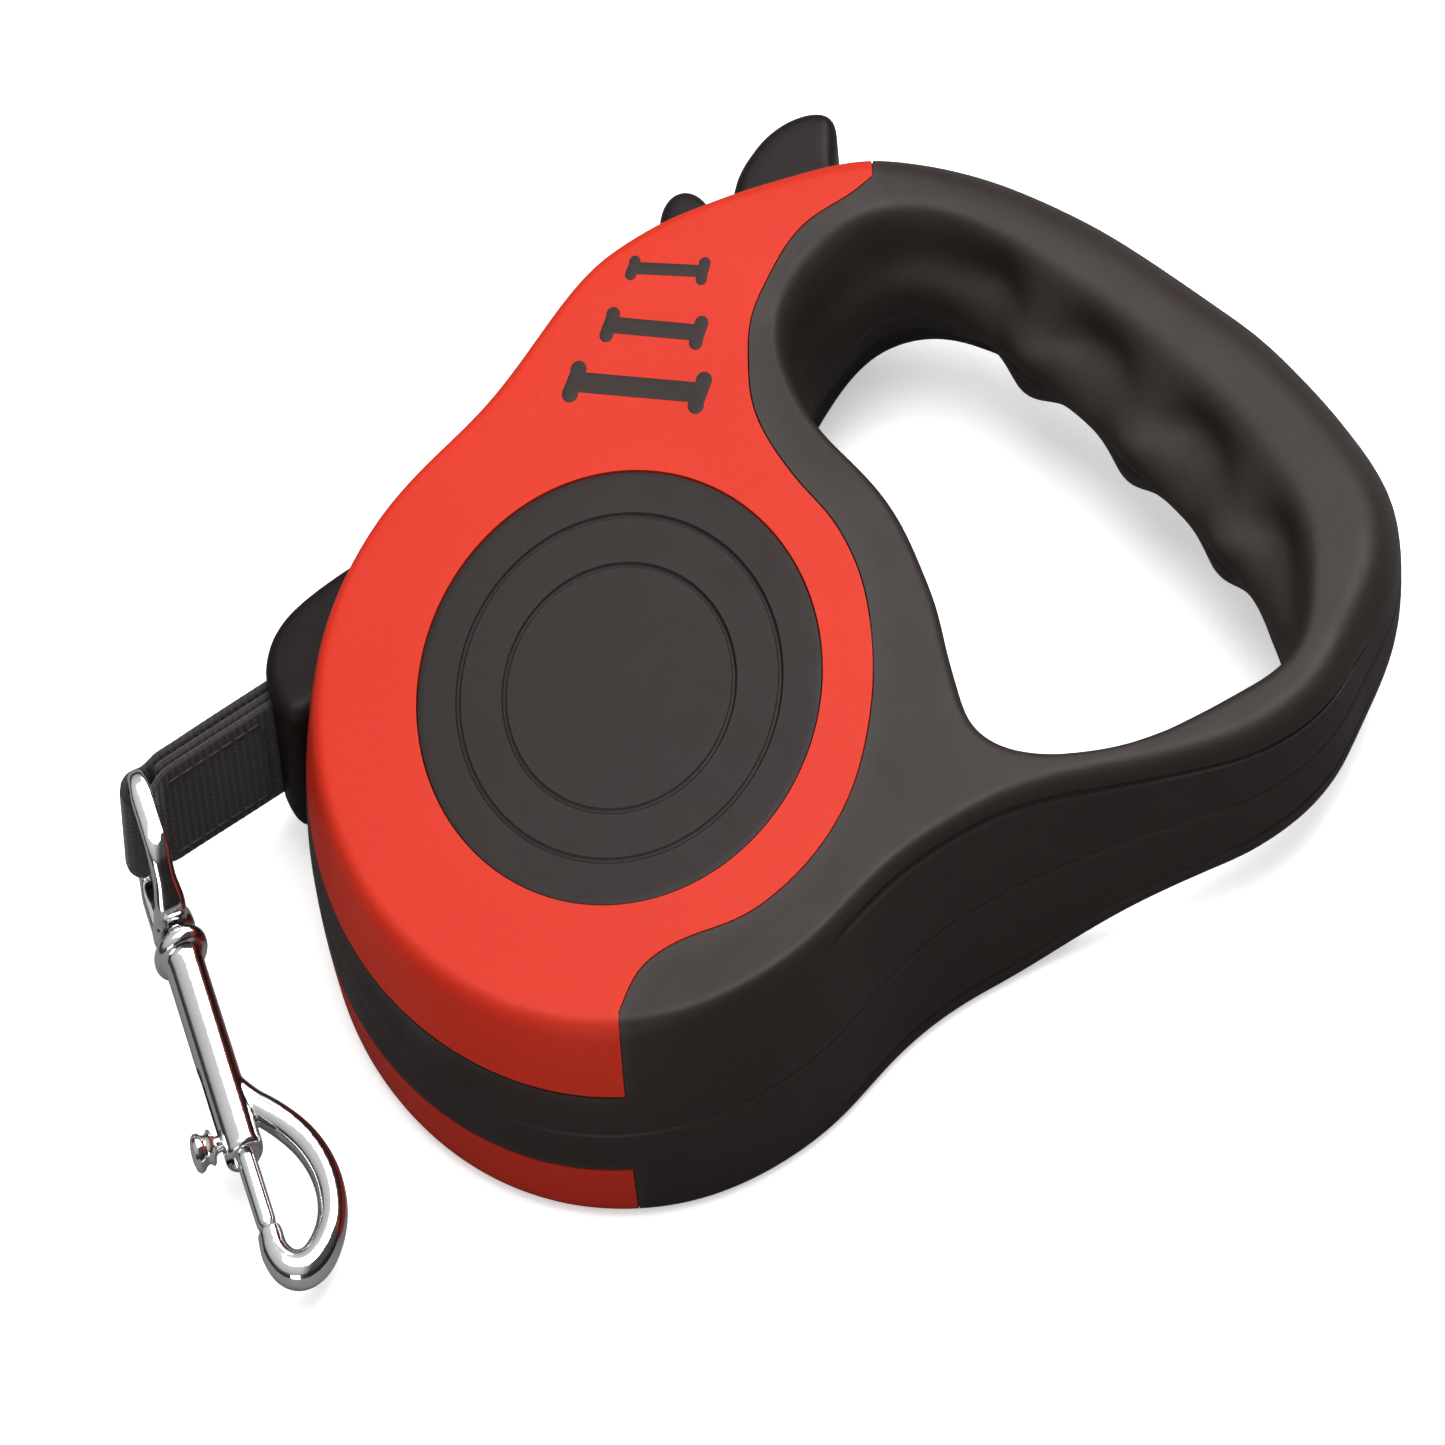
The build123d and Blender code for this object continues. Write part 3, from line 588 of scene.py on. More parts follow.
BLK_D, BLK_M, BLK_L = (0.0182, 0.0126, 0.0110), (0.0200, 0.0140, 0.0124), (0.0220, 0.0158, 0.0140)
MATS = {
    "shell_black": plastic("mat_shell", BLK_D, BLK_M, BLK_L, rough=(0.40, 0.50), grain=0.30, wear=0.35, wearcol=(0.045, 0.036, 0.033), spec=0.24),
    "cover_red": plastic("mat_cover", (0.446, 0.0176, 0.0046), (0.458, 0.0186, 0.0052), (0.470, 0.0198, 0.0060), rough=(0.42, 0.52), grain=0.16, wear=0.10, wearcol=(0.55, 0.03, 0.01), spec=0.2),
    "medallion_black": plastic("mat_medallion", (0.0132, 0.0080, 0.0073), (0.0143, 0.0088, 0.0080), (0.0156, 0.0097, 0.0089), rough=(0.48, 0.56), grain=0.45, wear=0.2, wearcol=(0.034, 0.026, 0.024), spec=0.22, rings=(0.0241, 0.01725)),
    "inlay_black": plastic("mat_inlay", BLK_D, BLK_M, BLK_L, rough=(0.5, 0.6), grain=0.35, wear=0.2, wearcol=(0.034, 0.026, 0.024), spec=0.2),
    "nozzle_black": plastic("mat_nozzle", (0.0060, 0.0034, 0.0031), (0.0070, 0.0042, 0.0038), (0.0084, 0.0052, 0.0047), rough=(0.40, 0.50), grain=0.18, wear=0.3, wearcol=(0.016, 0.012, 0.011), spec=0.14),
    "button_black": plastic("mat_button", (0.0070, 0.0042, 0.0038), (0.0085, 0.0052, 0.0047), (0.0105, 0.0064, 0.0058), rough=(0.34, 0.44), grain=0.18, wear=0.3, wearcol=(0.024, 0.018, 0.017), spec=0.18),
    "reel_plastic": plastic("mat_reel", (0.60, 0.60, 0.56), (0.68, 0.68, 0.64), (0.74, 0.74, 0.70), rough=(0.35, 0.5), grain=0.1, wear=0),
    "axle_plastic": plastic("mat_axle", (0.05, 0.05, 0.05), (0.07, 0.07, 0.07), (0.09, 0.09, 0.09), rough=(0.35, 0.5), grain=0.1, wear=0),
    "steel_zinc": chrome_mat("mat_zinc", (0.62, 0.62, 0.60), 0.22),
    "spring_steel": chrome_mat("mat_spring", (0.42, 0.42, 0.44), 0.28),
    "clip_chrome": chrome_mat("mat_chrome"),
    "strap_webbing": webbing_mat("mat_webbing"),
}
slot_of = {s["node"]: s["material_slot"] for s in frame["record"]["subparts"]}
for n, o in frame["nodes"].items():
    m = MATS[slot_of[n]]
    if not o.material_slots:
        o.data.materials.append(m)
    for s in o.material_slots:
        s.material = m


def give(o, slot):
    o.data.materials.clear()
    o.data.materials.append(MATS[slot])
    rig.slot(o, slot)
    return o


# --------------------------------------------------------------------------
# casing half: rounded walls, finger grips, face plate and the fine seams
# --------------------------------------------------------------------------
N_OUT, N_HOL = 430, 330
L_out, L_hol = out_t[-1], hol_t[-1]
rh_o, rv_o = lerp_vals(OUT, out_t, 2), lerp_vals(OUT, out_t, 3)
cf_o, cr_o = lerp_vals(CROWN, out_t, 1), lerp_vals(CROWN, out_t, 2)
rh_h, rv_h, wt_h = (lerp_vals(HOL, hol_t, c) for c in (2, 3, 4))
t_a = nearest_t(out_xy, L_out, (-22.3, -43.1))      # seam at the lower left
t_b = nearest_t(out_xy, L_out, (67.6, 50.8))        # tip of the red cover
ts = np.linspace(0, L_out, N_OUT, endpoint=False)
for s in (t_a, t_b):
    ts = ts[np.abs(ts - s) > 0.7]
ts = np.sort(np.r_[ts, t_a - SEAM / 2, t_a + SEAM / 2, t_b - SEAM / 2, t_b + SEAM / 2])
PO = out_xy(ts)
NO = normals_of(out_xy, ts, 1)      # points into the casing: travel is clockwise
if (NO * (np.array([30.0, 0.0]) - PO)).sum() < 0:
    NO = -NO
RHO, RVO = rh_o(ts), rv_o(ts)
th = np.linspace(0, L_hol, N_HOL, endpoint=False)
PH = hol_xy(th)
NH = normals_of(hol_xy, th, 1)
if (NH * (PH - np.array([66.0, -8.0]))).sum() < 0:
    NH = -NH
RHH, RVH, WTH = rh_h(th), rv_h(th), np.clip(wt_h(th), 0, 1)

red = (ts >= t_a + SEAM / 2 - 1e-6) | (ts <= t_b - SEAM / 2 + 1e-6)
i_red = [i for i in range(len(ts)) if red[i]]
order_red = [i for i in i_red if ts[i] >= t_a] + [i for i in i_red if ts[i] <= t_b + 1]
i_blk = [i for i in range(len(ts)) if not red[i]]


def col_outer(i, crown, band):
    """Profile of one column of the outer wall, from the parting line to the face: lower rows, upper rows."""
    p, n, rh, rv = PO[i], NO[i], RHO[i], RVO[i]
    q = p + n * (rh + crown)
    zt = float(ztop(np.array([q[0]]))[0])
    zs = zt - rv
    zb = min(band, MID + (zs - MID) * 0.55)
    cr = lambda z: crown * min(1.0, max(0.0, (z - MID) / (zs - MID))) ** 1.7
    low = [(0.22, MID), (0.05, MID + min(0.22, (zb - MID) * 0.2)), (0.0, MID + min(0.5, (zb - MID) * 0.4))]
    for f in (0.2, 0.4, 0.6, 0.82, 1.0):
        z = low[2][1] + (zb - low[2][1]) * f
        low.append((cr(z), z))
    # fine groove under the edge of the black face
    bottom = smooth01((p[0] - 4) / 14) * (1.0 if n[1] > 0.3 else 0.0)
    g = bottom * (1 - smooth01((p[0] - 92) / 12)) * 0.42
    up = []
    gap = 0.24 if red[i] else 0.0
    za = zb + gap
    span = zs - za
    for f in (0.0, 0.12, 0.3, 0.5, 0.66):
        up.append((cr(za + span * f), za + span * f))
    zg = zs - min(0.9, span * 0.17)
    hw = min(0.30, span * 0.06)
    up += [(cr(z) + g * w, z) for z, w in ((zg - 1.5 * hw, 0), (zg - 0.5 * hw, 0.9), (zg, 1), (zg + 0.6 * hw, 0.75), (zg + 1.6 * hw, 0.35), (zs, 0.02))]
    # rounded edge that carries on from the slope of the wall
    slope = 1.7 * crown / (zs - MID)
    p0, p3 = np.array([crown, zs]), np.array([crown + rh, zt])
    p1 = p0 + np.array([slope, 1.0]) * 0.55 * rv
    p2 = p3 - np.array([0.55 * rh, 0.0])
    for k in range(1, 13):
        u = k / 12
        w = (1 - u) ** 3 * p0 + 3 * u * (1 - u) ** 2 * p1 + 3 * u * u * (1 - u) * p2 + u ** 3 * p3
        up.append((w[0], w[1]))
    f = lambda rows: np.array([[p[0] + n[0] * d, p[1] + n[1] * d, z] for d, z in rows])
    return f(low), f(up)


OG = cubic([0, 1, 2, 3, 4, 5, 6, 7, 8, 9],
           [(0, 0), (0.035, 0.14), (0.14, 0.29), (0.31, 0.40), (0.47, 0.50), (0.58, 0.63), (0.67, 0.78), (0.775, 0.91), (0.89, 0.98), (1, 1)], False)
NHR = 26
# arc length along the grip of the three ridges between the finger seats
RIDGE = sorted(nearest_t(hol_xy, L_hol, q) for q in ((88.6, -19.0), (83.0, 0.0), (76.0, 19.0)))
t_g0, t_g1 = nearest_t(hol_xy, L_hol, (94.2, -33.5)), nearest_t(hol_xy, L_hol, (66.5, 31.7))


def rim_limit():
    """Largest in-plane rounding that leaves a flat strip between the rim and the outer edge."""
    out = np.array(RHH, float)
    for i in range(len(th)):
        while out[i] > 1.4 and (np.linalg.norm(PO - (PH[i] + NH[i] * out[i]), axis=1) - RHO).min() < 0.9:
            out[i] -= 0.1
    m = np.array([min(out[(i + k) % len(th)] for k in range(-3, 4)) for i in range(len(th))])
    return np.array([np.mean([m[(i + k) % len(th)] for k in range(-3, 4)]) for i in range(len(th))])


RHH = rim_limit()


def col_hole(i, rear=False):
    p, n, rh, rv, w = PH[i], NH[i], RHH[i], RVH[i], WTH[i]
    if rear and p[1] > 16:
        w = max(w, float(smooth01((p[1] - 16) / 8)))
    q = p + n * rh
    zt = float(ztop(np.array([q[0]]))[0])
    H = zt - MID
    rv = min(rv, H - 0.6) if w > 0 else rv
    rows0 = []
    wall = H - min(rv, H - 0.3)
    L1, L2 = wall, (math.pi / 2) * (rh + min(rv, H - 0.3)) / 2
    for k in range(NHR):
        s = (k / (NHR - 1))
        s = s * (L1 + L2)
        if s <= L1:
            rows0.append((0, s))
        else:
            a = (s - L1) / L2 * math.pi / 2
            rows0.append((rh * (1 - math.cos(a)), wall + min(rv, H - 0.3) * math.sin(a)))
    rows1 = OG(np.linspace(0, 9, NHR)) * np.array([rh, H])
    R = np.array(rows0) * (1 - w) + rows1 * w
    # finger seats along the grip: ridges stand between them
    env = float(np.interp(th[i], [RIDGE[0] - 15, RIDGE[0] - 6, RIDGE[-1] + 6, RIDGE[-1] + 15], [0, 1, 1, 0]))
    if env > 0:
        ph = float(np.interp(th[i], [RIDGE[0] - 20] + RIDGE + [RIDGE[-1] + 20], [-2.0, 0, 2, 4, 6.0]))
        wave = 1.0 - 2.0 * (0.5 + 0.5 * math.cos(math.pi * ph)) ** 1.5
        hh = R[:, 1] / H
        shape = np.exp(-((hh - 0.42) / 0.34) ** 2) * smooth01(hh / 0.12 + 0.5)
        R[:, 0] += smooth01(env) * (1.7 * wave - 0.1) * shape
    groove = np.exp(-(R[:, 1] / 0.35) ** 2) * 0.20
    R[:, 0] += groove
    return np.array([[p[0] + n[0] * d, p[1] + n[1] * d, MID + z] for d, z in R])


HC = np.array([col_hole(i) for i in range(len(th))]).transpose(1, 0, 2)
HCR = np.array([col_hole(i, True) for i in range(len(th))]).transpose(1, 0, 2)
iA_r, iA_b = order_red[0], i_blk[-1]
iB_r, iB_b = order_red[-1], i_blk[0]
ang = np.linspace(0, 2 * math.pi, 181)[:-1]
medal_hole = np.c_[np.cos(ang), np.sin(ang)] * (MEDAL_R + 0.14)
midx = np.array([(PO[i] + PO[(i + 1) % len(ts)]) / 2 for i in range(len(ts))])


def plate(loops, step):
    V2, F = fill(loops, step)
    return np.c_[V2, ztop(V2[:, 0])], F


def in_slot(x, y):
    """The places where the lever and the lock button come through the centre band."""
    return y > 40 and (46.2 < x < 67.8 or 36.9 < x < 46.1)


SIGN = 1.0 if ((PO + NO) ** 2).sum() > (PO ** 2).sum() else -1.0
TIES = {}


def tie(UP, name):
    """A tongue under the joint of cover and shell, from the side wall over the rounded edge."""
    G = Mesh()
    for end in (iA_r, iB_r):
        pick = [(end + k) % len(ts) for k in (range(-4, 5) if end == iA_r else range(-1, 3))]
        P = UP[:, pick]
        d = np.gradient(P, axis=0)
        out = np.array([NO[k] for k in pick]) * SIGN
        du, dz = -(d[:, :, :2] * out[None]).sum(2), d[:, :, 2]
        ln = np.hypot(du, dz) + 1e-9
        du, dz = du / ln, dz / ln

        def at(e):
            q = P.copy()
            q[:, :, :2] -= out[None] * (dz * e)[:, :, None]
            q[:, :, 2] -= du * e
            return q
        a, b = at(0.22), at(0.95)
        nr, nc = a.shape[:2]
        V = np.vstack([a.reshape(-1, 3), b.reshape(-1, 3)])
        F, o2 = [], nr * nc
        for r in range(nr - 1):
            for c in range(nc - 1):
                k = r * nc + c
                F.append((k, k + 1, k + nc + 1, k + nc))
                F.append((o2 + k, o2 + k + nc, o2 + k + nc + 1, o2 + k + 1))
        rim = [(r * nc, (r + 1) * nc) for r in range(nr - 1)] + [((r + 1) * nc + nc - 1, r * nc + nc - 1) for r in range(nr - 1)]
        rim += [(c + 1, c) for c in range(nc - 1)] + [((nr - 1) * nc + c, (nr - 1) * nc + c + 1) for c in range(nc - 1)]
        F += [(i, j, o2 + j, o2 + i) for i, j in rim]
        G.add(V, F)
    return G.build(name)


def half(crowns, band, HC, names):
    """One cover skin and one shell skin."""
    cols = [col_outer(i, crowns[i], band(i)) for i in range(len(ts))]
    LOW = np.array([c[0] for c in cols]).transpose(1, 0, 2)
    UP = np.array([c[1] for c in cols]).transpose(1, 0, 2)
    ringO = UP[-1][:, :2]
    A = (ringO[iA_r] + ringO[iA_b]) / 2
    B = (ringO[iB_r] + ringO[iB_b]) / 2
    ctrl = [tuple(B)] + EDGE[1:] + [tuple(A)]
    ct = chord(ctrl, False)
    edge_f = cubic(ct, ctrl, False)
    EP = edge_f(np.linspace(0, ct[-1], 150))
    ed = np.gradient(EP, axis=0)
    ed /= np.linalg.norm(ed, axis=1)[:, None]
    en = np.c_[-ed[:, 1], ed[:, 0]]
    sd = 1 if ((np.array([0.0, 0.0]) - EP[60]) * en[60]).sum() > 0 else -1
    red_side = EP + en * sd * SEAM / 2
    blk_side = EP - en * sd * SEAM / 2
    cover = Mesh()
    cover.grid(UP[:, order_red])
    V, F = plate([np.vstack([ringO[order_red], red_side[1:-1]]), medal_hole], 2.6)
    cover.add(V, F)
    shell = Mesh()
    shell.grid(UP[:, i_blk])
    shell.grid(LOW, closed=True, skip=lambda i, j: in_slot(*midx[j]))
    V, F = plate([np.vstack([ringO[i_blk], blk_side[::-1][1:-1]]), HC[-1][:, :2]], 1.9)
    shell.add(V, F)
    shell.grid(HC, closed=True, flip=True)
    TIES[names[1]] = UP
    return cover.build(names[0]), shell.build(names[1])


def orient(o, ref_up=True):
    """Makes normals point outwards using the face plate, whose normal is +z."""
    import bmesh
    bm = bmesh.new()
    bm.from_mesh(o.data)
    bmesh.ops.recalc_face_normals(bm, faces=bm.faces)
    top = [f for f in bm.faces if f.calc_center_median().z > 0.0235 and abs(f.normal.z) > 0.9]
    s = sum(f.normal.z * f.calc_area() for f in top)
    if s < 0:
        bmesh.ops.reverse_faces(bm, faces=bm.faces)
    bm.to_mesh(o.data)
    bm.free()


band_f = lambda i: 20.93 - 0.75 * smooth01((PO[i][0] + 48) / 40)
band_r = lambda i: 20.93
front_cover, front_shell = half(cf_o(ts), band_f, HC, ("front_cover_skin", "front_shell_skin"))
rc_, rs_ = half(cr_o(ts), band_r, HCR, ("rc", "rs"))
tie_f, tie_r0 = tie(TIES["front_shell_skin"], "tie_f"), tie(TIES["rs"], "tr")
for o in (front_cover, front_shell, rc_, rs_):
    orient(o)


def thicken(o, t):
    m = o.modifiers.new("wall", "SOLIDIFY")
    m.thickness = t * MM
    m.offset = -1
    m.use_rim = True
    m.use_even_offset = False
    apply_mods(o)
    return o


def absorb(o, other):
    """Adds another object's mesh to this one."""
    import bmesh
    bm = bmesh.new()
    bm.from_mesh(other.data)
    bmesh.ops.recalc_face_normals(bm, faces=bm.faces)
    bm.from_mesh(o.data)
    bm.to_mesh(o.data)
    bm.free()
    bpy.data.objects.remove(other)


rear_cover = mirror_z(rc_, "rear_cover_skin")
rear_shell = mirror_z(rs_, "rear_shell_skin")
tie_r = mirror_z(tie_r0, "tie_r")
bpy.data.objects.remove(tie_r0)
bpy.data.objects.remove(rc_)
bpy.data.objects.remove(rs_)
for o, slot_name, node in ((front_cover, "cover_red", "front_cover"), (rear_cover, "cover_red", "rear_cover"),
                           (front_shell, "shell_black", "front_shell"), (rear_shell, "shell_black", "rear_shell")):
    thicken(o, 1.2)
    if node.endswith("shell"):
        absorb(o, tie_f if node == "front_shell" else tie_r)
    smooth(o, 38)
    give(o, slot_name)
    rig.ride(o, "casing")
    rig.replaces(o, node)


# --------------------------------------------------------------------------
# rounded prisms: nozzle, buttons, medallions, inlays
# --------------------------------------------------------------------------
def inset(P, d):
    P = np.asarray(P, float)
    a, b = np.roll(P, 1, axis=0), np.roll(P, -1, axis=0)
    e1, e2 = P - a, b - P
    e1 /= np.linalg.norm(e1, axis=1)[:, None]
    e2 /= np.linalg.norm(e2, axis=1)[:, None]
    n1, n2 = np.c_[-e1[:, 1], e1[:, 0]], np.c_[-e2[:, 1], e2[:, 0]]
    n = n1 + n2
    n /= np.linalg.norm(n, axis=1)[:, None]
    c = np.clip((n * n1).sum(1), 0.5, 1)
    area = 0.5 * (P[:, 0] * b[:, 1] - b[:, 0] * P[:, 1]).sum()
    return P + n * (d / c)[:, None] * (1 if area > 0 else -1)


def rounded_prism(name, P, z0, z1, r0, r1, step=1.5, steps=7, mesh=None, crown=0.0):
    """A closed prism on outline P with rounded rims."""
    P = np.asarray(P, float)
    area = 0.5 * (P[:, 0] * np.roll(P[:, 1], -1) - np.roll(P[:, 0], -1) * P[:, 1]).sum()
    if area < 0:
        P = P[::-1]
    rows = []
    for k in range(steps, -1, -1):
        a = math.pi / 2 * k / steps
        rows.append(np.c_[inset(P, r0 * (1 - math.cos(a))), np.full(len(P), z0 + r0 - r0 * math.sin(a))])
    for k in range(0, steps + 1):
        a = math.pi / 2 * k / steps
        rows.append(np.c_[inset(P, r1 * (1 - math.cos(a))), np.full(len(P), z1 - r1 + r1 * math.sin(a))])
    M = mesh or Mesh()
    M.grid(np.array(rows), closed=True)
    for R, up in ((rows[0], False), (rows[-1], True)):
        V2, F = fill([R[:, :2]], step)
        z = np.full(len(V2), R[0, 2])
        if not up:
            F = F[:, ::-1]
        M.add(np.c_[V2, z], F)
    if mesh is not None:
        return None
    return M.build(name)


def dense(P, n, closed=True):
    t = chord(P, closed)
    f = cubic(t, [p[:2] for p in P], closed)
    return f(np.linspace(0, t[-1], n, endpoint=not closed))


def round_poly(P, r, n=6):
    """Polygon with rounded corners; r is one radius or one per corner."""
    P = [np.array(p, float) for p in P]
    out = []
    N = len(P)
    for i in range(N):
        a, p, b = P[i - 1], P[i], P[(i + 1) % N]
        rr = r[i] if isinstance(r, (list, tuple)) else r
        u, v = (a - p) / np.linalg.norm(a - p), (b - p) / np.linalg.norm(b - p)
        c = float(np.clip(u @ v, -1, 1))
        ang_ = math.acos(c)
        if rr <= 0 or ang_ > 3.05:
            out.append(p)
            continue
        t = min(rr / math.tan(ang_ / 2), 0.48 * np.linalg.norm(a - p), 0.48 * np.linalg.norm(b - p))
        rr = t * math.tan(ang_ / 2)
        cen = p + (u + v) / np.linalg.norm(u + v) * rr / math.sin(ang_ / 2)
        s, e = p + u * t, p + v * t
        a0 = math.atan2(*(s - cen)[::-1])
        a1 = math.atan2(*(e - cen)[::-1])
        d = (a1 - a0 + math.pi) % (2 * math.pi) - math.pi
        for k in range(n + 1):
            x = a0 + d * k / n
            out.append(cen + rr * np.array([math.cos(x), math.sin(x)]))
    return np.array(out)


def resample(P, step):
    P = np.asarray(P, float)
    Q = np.vstack([P, P[:1]])
    out = []
    for a, b in zip(Q[:-1], Q[1:]):
        n = max(1, int(round(np.linalg.norm(b - a) / step)))
        for k in range(n):
            out.append(a + (b - a) * k / n)
    return np.array(out)


# medallion: lathed disc with two engraved rings
def medallion(name):
    prof = [(0, 0)]
    z = 0.0
    def ring(r, w, d):
        return [(r - w, 0), (r - w * 0.5, -d * 0.8), (r, -d), (r + w * 0.5, -d * 0.8), (r + w, 0)]
    pts = [(x, 0.0) for x in np.linspace(1.0, 16.2, 9)] + ring(17.05, 0.42, 0.30)
    pts += [(x, 0.0) for x in np.linspace(18.2, 22.9, 4)] + ring(23.9, 0.42, 0.30)
    pts += [(x, 0.0) for x in np.linspace(25.0, 29.0, 4)]
    pts += [(29.75, -0.02), (29.92, -0.08), (29.98, -0.22), (29.98, -1.55)]
    n = 192
    rows = [[(r * math.cos(2 * math.pi * k / n), r * math.sin(2 * math.pi * k / n), 29.96 + z) for k in range(n)] for r, z in pts]
    M = Mesh()
    M.grid(np.array(rows), closed=True, flip=True)
    c = [(0, 0, 29.96)] + rows[0]
    M.add(c, [(0, k + 1, (k + 1) % n + 1) for k in range(n)])
    b = [(0, 0, 28.41)] + rows[-1]
    M.add(b, [(0, (k + 1) % n + 1, k + 1) for k in range(n)])
    return M.build(name)


fm = medallion("front_medallion_disc")
rm = mirror_z(fm, "rear_medallion_disc")
for o, node in ((fm, "front_medallion"), (rm, "rear_medallion")):
    smooth(o, 35)
    give(o, "medallion_black")
    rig.ride(o, "casing")
    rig.replaces(o, node)


# bone-shaped inlays: lobe centres (far left, near left, far right, near right), lobe radius, half height of the shaft
BONES = [([(29.09, 51.23), (27.80, 50.03), (37.75, 45.48), (36.33, 43.82)], 0.90, 0.88),
         ([(23.02, 46.46), (20.89, 44.50), (33.52, 38.38), (31.61, 36.47)], 1.08, 1.18),
         ([(15.17, 42.44), (12.56, 40.13), (30.20, 31.15), (27.62, 28.75)], 1.26, 1.45)]


def bone_outline(lobes, r, h):
    TL, BL, TR, BR = [np.array(p) for p in lobes]
    cl, cr = (TL + BL) / 2, (TR + BR) / 2
    u = (cr - cl) / np.linalg.norm(cr - cl)
    n = np.array([-u[1], u[0]])
    c0 = (cl + cr) / 2
    loc = lambda p: ((p - c0) @ u, (p - c0) @ n)
    arcs = []
    for P, up, right in ((TR, 1, 1), (BR, -1, 1), (BL, -1, -1), (TL, 1, -1)):
        x, y = loc(P)
        dd = math.asin(max(-0.95, min(0.95, (abs(y) - h) / r)))
        inner = math.pi + dd          # where the shaft meets the lobe, for the upper right one
        outer = -0.10 * math.pi
        a = np.linspace(inner, outer, 16)
        pts = np.c_[np.cos(a), np.sin(a)] * r * np.array([right, up]) + np.array([x, y])
        arcs.append(pts if (up, right) in ((1, 1), (-1, -1)) else pts[::-1])
    P = np.vstack(arcs)
    return c0 + P[:, :1] * u + P[:, 1:] * n


BM = Mesh()
for lobes, r, h in BONES:
    rounded_prism("", resample(bone_outline(lobes, r, h), 0.35), 29.35, 30.06, 0.05, 0.16, step=0.9, steps=3, mesh=BM)
bf = BM.build("front_bone_marks")
br = mirror_z(bf, "rear_bone_marks")
for o, node in ((bf, "front_bone_inlays"), (br, "rear_bone_inlays")):
    smooth(o, 35)
    give(o, "inlay_black")
    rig.ride(o, "casing")
    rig.replaces(o, node)

# nozzle boss round the strap
NOZ = [(-18.0, 41.2), (-24.0, 41.5), (-28.5, 41.4), (-32.0, 41.1), (-35.2, 40.5), (-38.1, 39.3), (-40.4, 37.4), (-41.8, 35.3), (-42.5, 33.0),
       (-42.75, 30.5), (-42.6, 28.6), (-41.9, 27.2), (-40.5, 26.5), (-38.0, 26.3), (-24.0, 26.3), (-18.0, 30.0)]
NS = dense(NOZ[:14], 64, closed=False)
noz = np.vstack([NS, NOZ[14:]])
nozzle = rounded_prism("strap_nozzle_boss", resample(noz, 0.9), 5.0, 25.0, 3.6, 2.0, step=1.6, steps=7)
drum = rounded_prism("drum", np.c_[np.cos(ang), np.sin(ang)] * 43.6, 0.0, 30.0, 0.2, 0.2, step=9.0, steps=1)
cut = rounded_prism("cut", round_poly([(-60, 31.7), (-60, 35.7), (-20, 35.7), (-20, 31.7)], 0.5, 4), 6.9, 23.2, 0.5, 0.5, step=3, steps=3)
mod = nozzle.modifiers.new("drum", "BOOLEAN")
mod.operation = "DIFFERENCE"
mod.object = drum
mod.solver = "EXACT"
apply_mods(nozzle)
bpy.data.objects.remove(drum)
mod = nozzle.modifiers.new("slot", "BOOLEAN")
mod.operation = "DIFFERENCE"
mod.object = cut
mod.solver = "EXACT"
apply_mods(nozzle)
bpy.data.objects.remove(cut)
smooth(nozzle, 40)
give(nozzle, "nozzle_black")
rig.ride(nozzle, "casing")
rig.replaces(nozzle, "strap_nozzle")

# brake lever: rounded fin above the casing, arm and pawl inside
FIN = [(46.9, 47.0), (47.0, 52.0), (47.6, 57.0), (49.0, 60.6), (51.0, 62.8), (53.4, 64.2), (56.5, 65.3),
       (60.0, 65.6), (63.2, 65.0), (65.6, 63.7), (66.6, 62.1), (66.2, 60.3), (64.6, 57.2),
       (63.7, 53.0), (63.6, 47.4), (63.0, 46.6), (55.0, 46.2), (48.0, 46.2)]
LM = Mesh()
rounded_prism("", dense(FIN, 110), 9.5, 20.5, 2.2, 2.2, step=1.5, steps=7, mesh=LM)
rounded_prism("", resample(round_poly([(25.5, 44.6), (36, 42.6), (50, 43.6), (61, 45.0), (62, 47.6), (49.5, 47.0), (47.2, 44.9), (36, 44.8), (27.0, 50.3)], 0.5, 3), 1.5),
              12.0, 18.0, 0.4, 0.4, step=2.5, steps=3, mesh=LM)
rounded_prism("", resample(round_poly([(31.5, 45.2), (36.8, 45.0), (36.4, 36), (35.5, 30.7), (32.6, 27.9), (31.1, 29.5), (32.3, 33.5), (31.8, 38)], 0.4, 3), 1.5),
              9.7, 20.3, 0.4, 0.4, step=2.5, steps=3, mesh=LM)
lever = LM.build("brake_lever_body")
smooth(lever, 40)
give(lever, "button_black")
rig.ride(lever, "brake")
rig.replaces(lever, "brake_lever")

# lock button: domed cap and stem
dome = [(37.9, 49.9)] + [(37.9, y) for y in np.linspace(51, 61.6, 9)]
dome += [(41.9 + 4.0 * math.cos(a), 61.8 + 4.6 * math.sin(a)) for a in np.linspace(math.pi, 0, 22)][1:-1]
dome += [(45.9, y) for y in np.linspace(61.6, 51, 9)] + [(45.9, 49.9)]
KM = Mesh()
rounded_prism("", np.array(dome), 10.5, 19.5, 2.2, 2.2, step=1.4, steps=7, mesh=KM)
rounded_prism("", resample(round_poly([(36.8, 48.05), (46.2, 48.05), (46.2, 50.2), (36.8, 50.2)], 0.3, 3), 1.5), 9.1, 20.9, 0.3, 0.3, step=2, steps=3, mesh=KM)
lock = KM.build("lock_button_cap")
smooth(lock, 40)
give(lock, "button_black")
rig.ride(lock, "lock")
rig.replaces(lock, "lock_button")

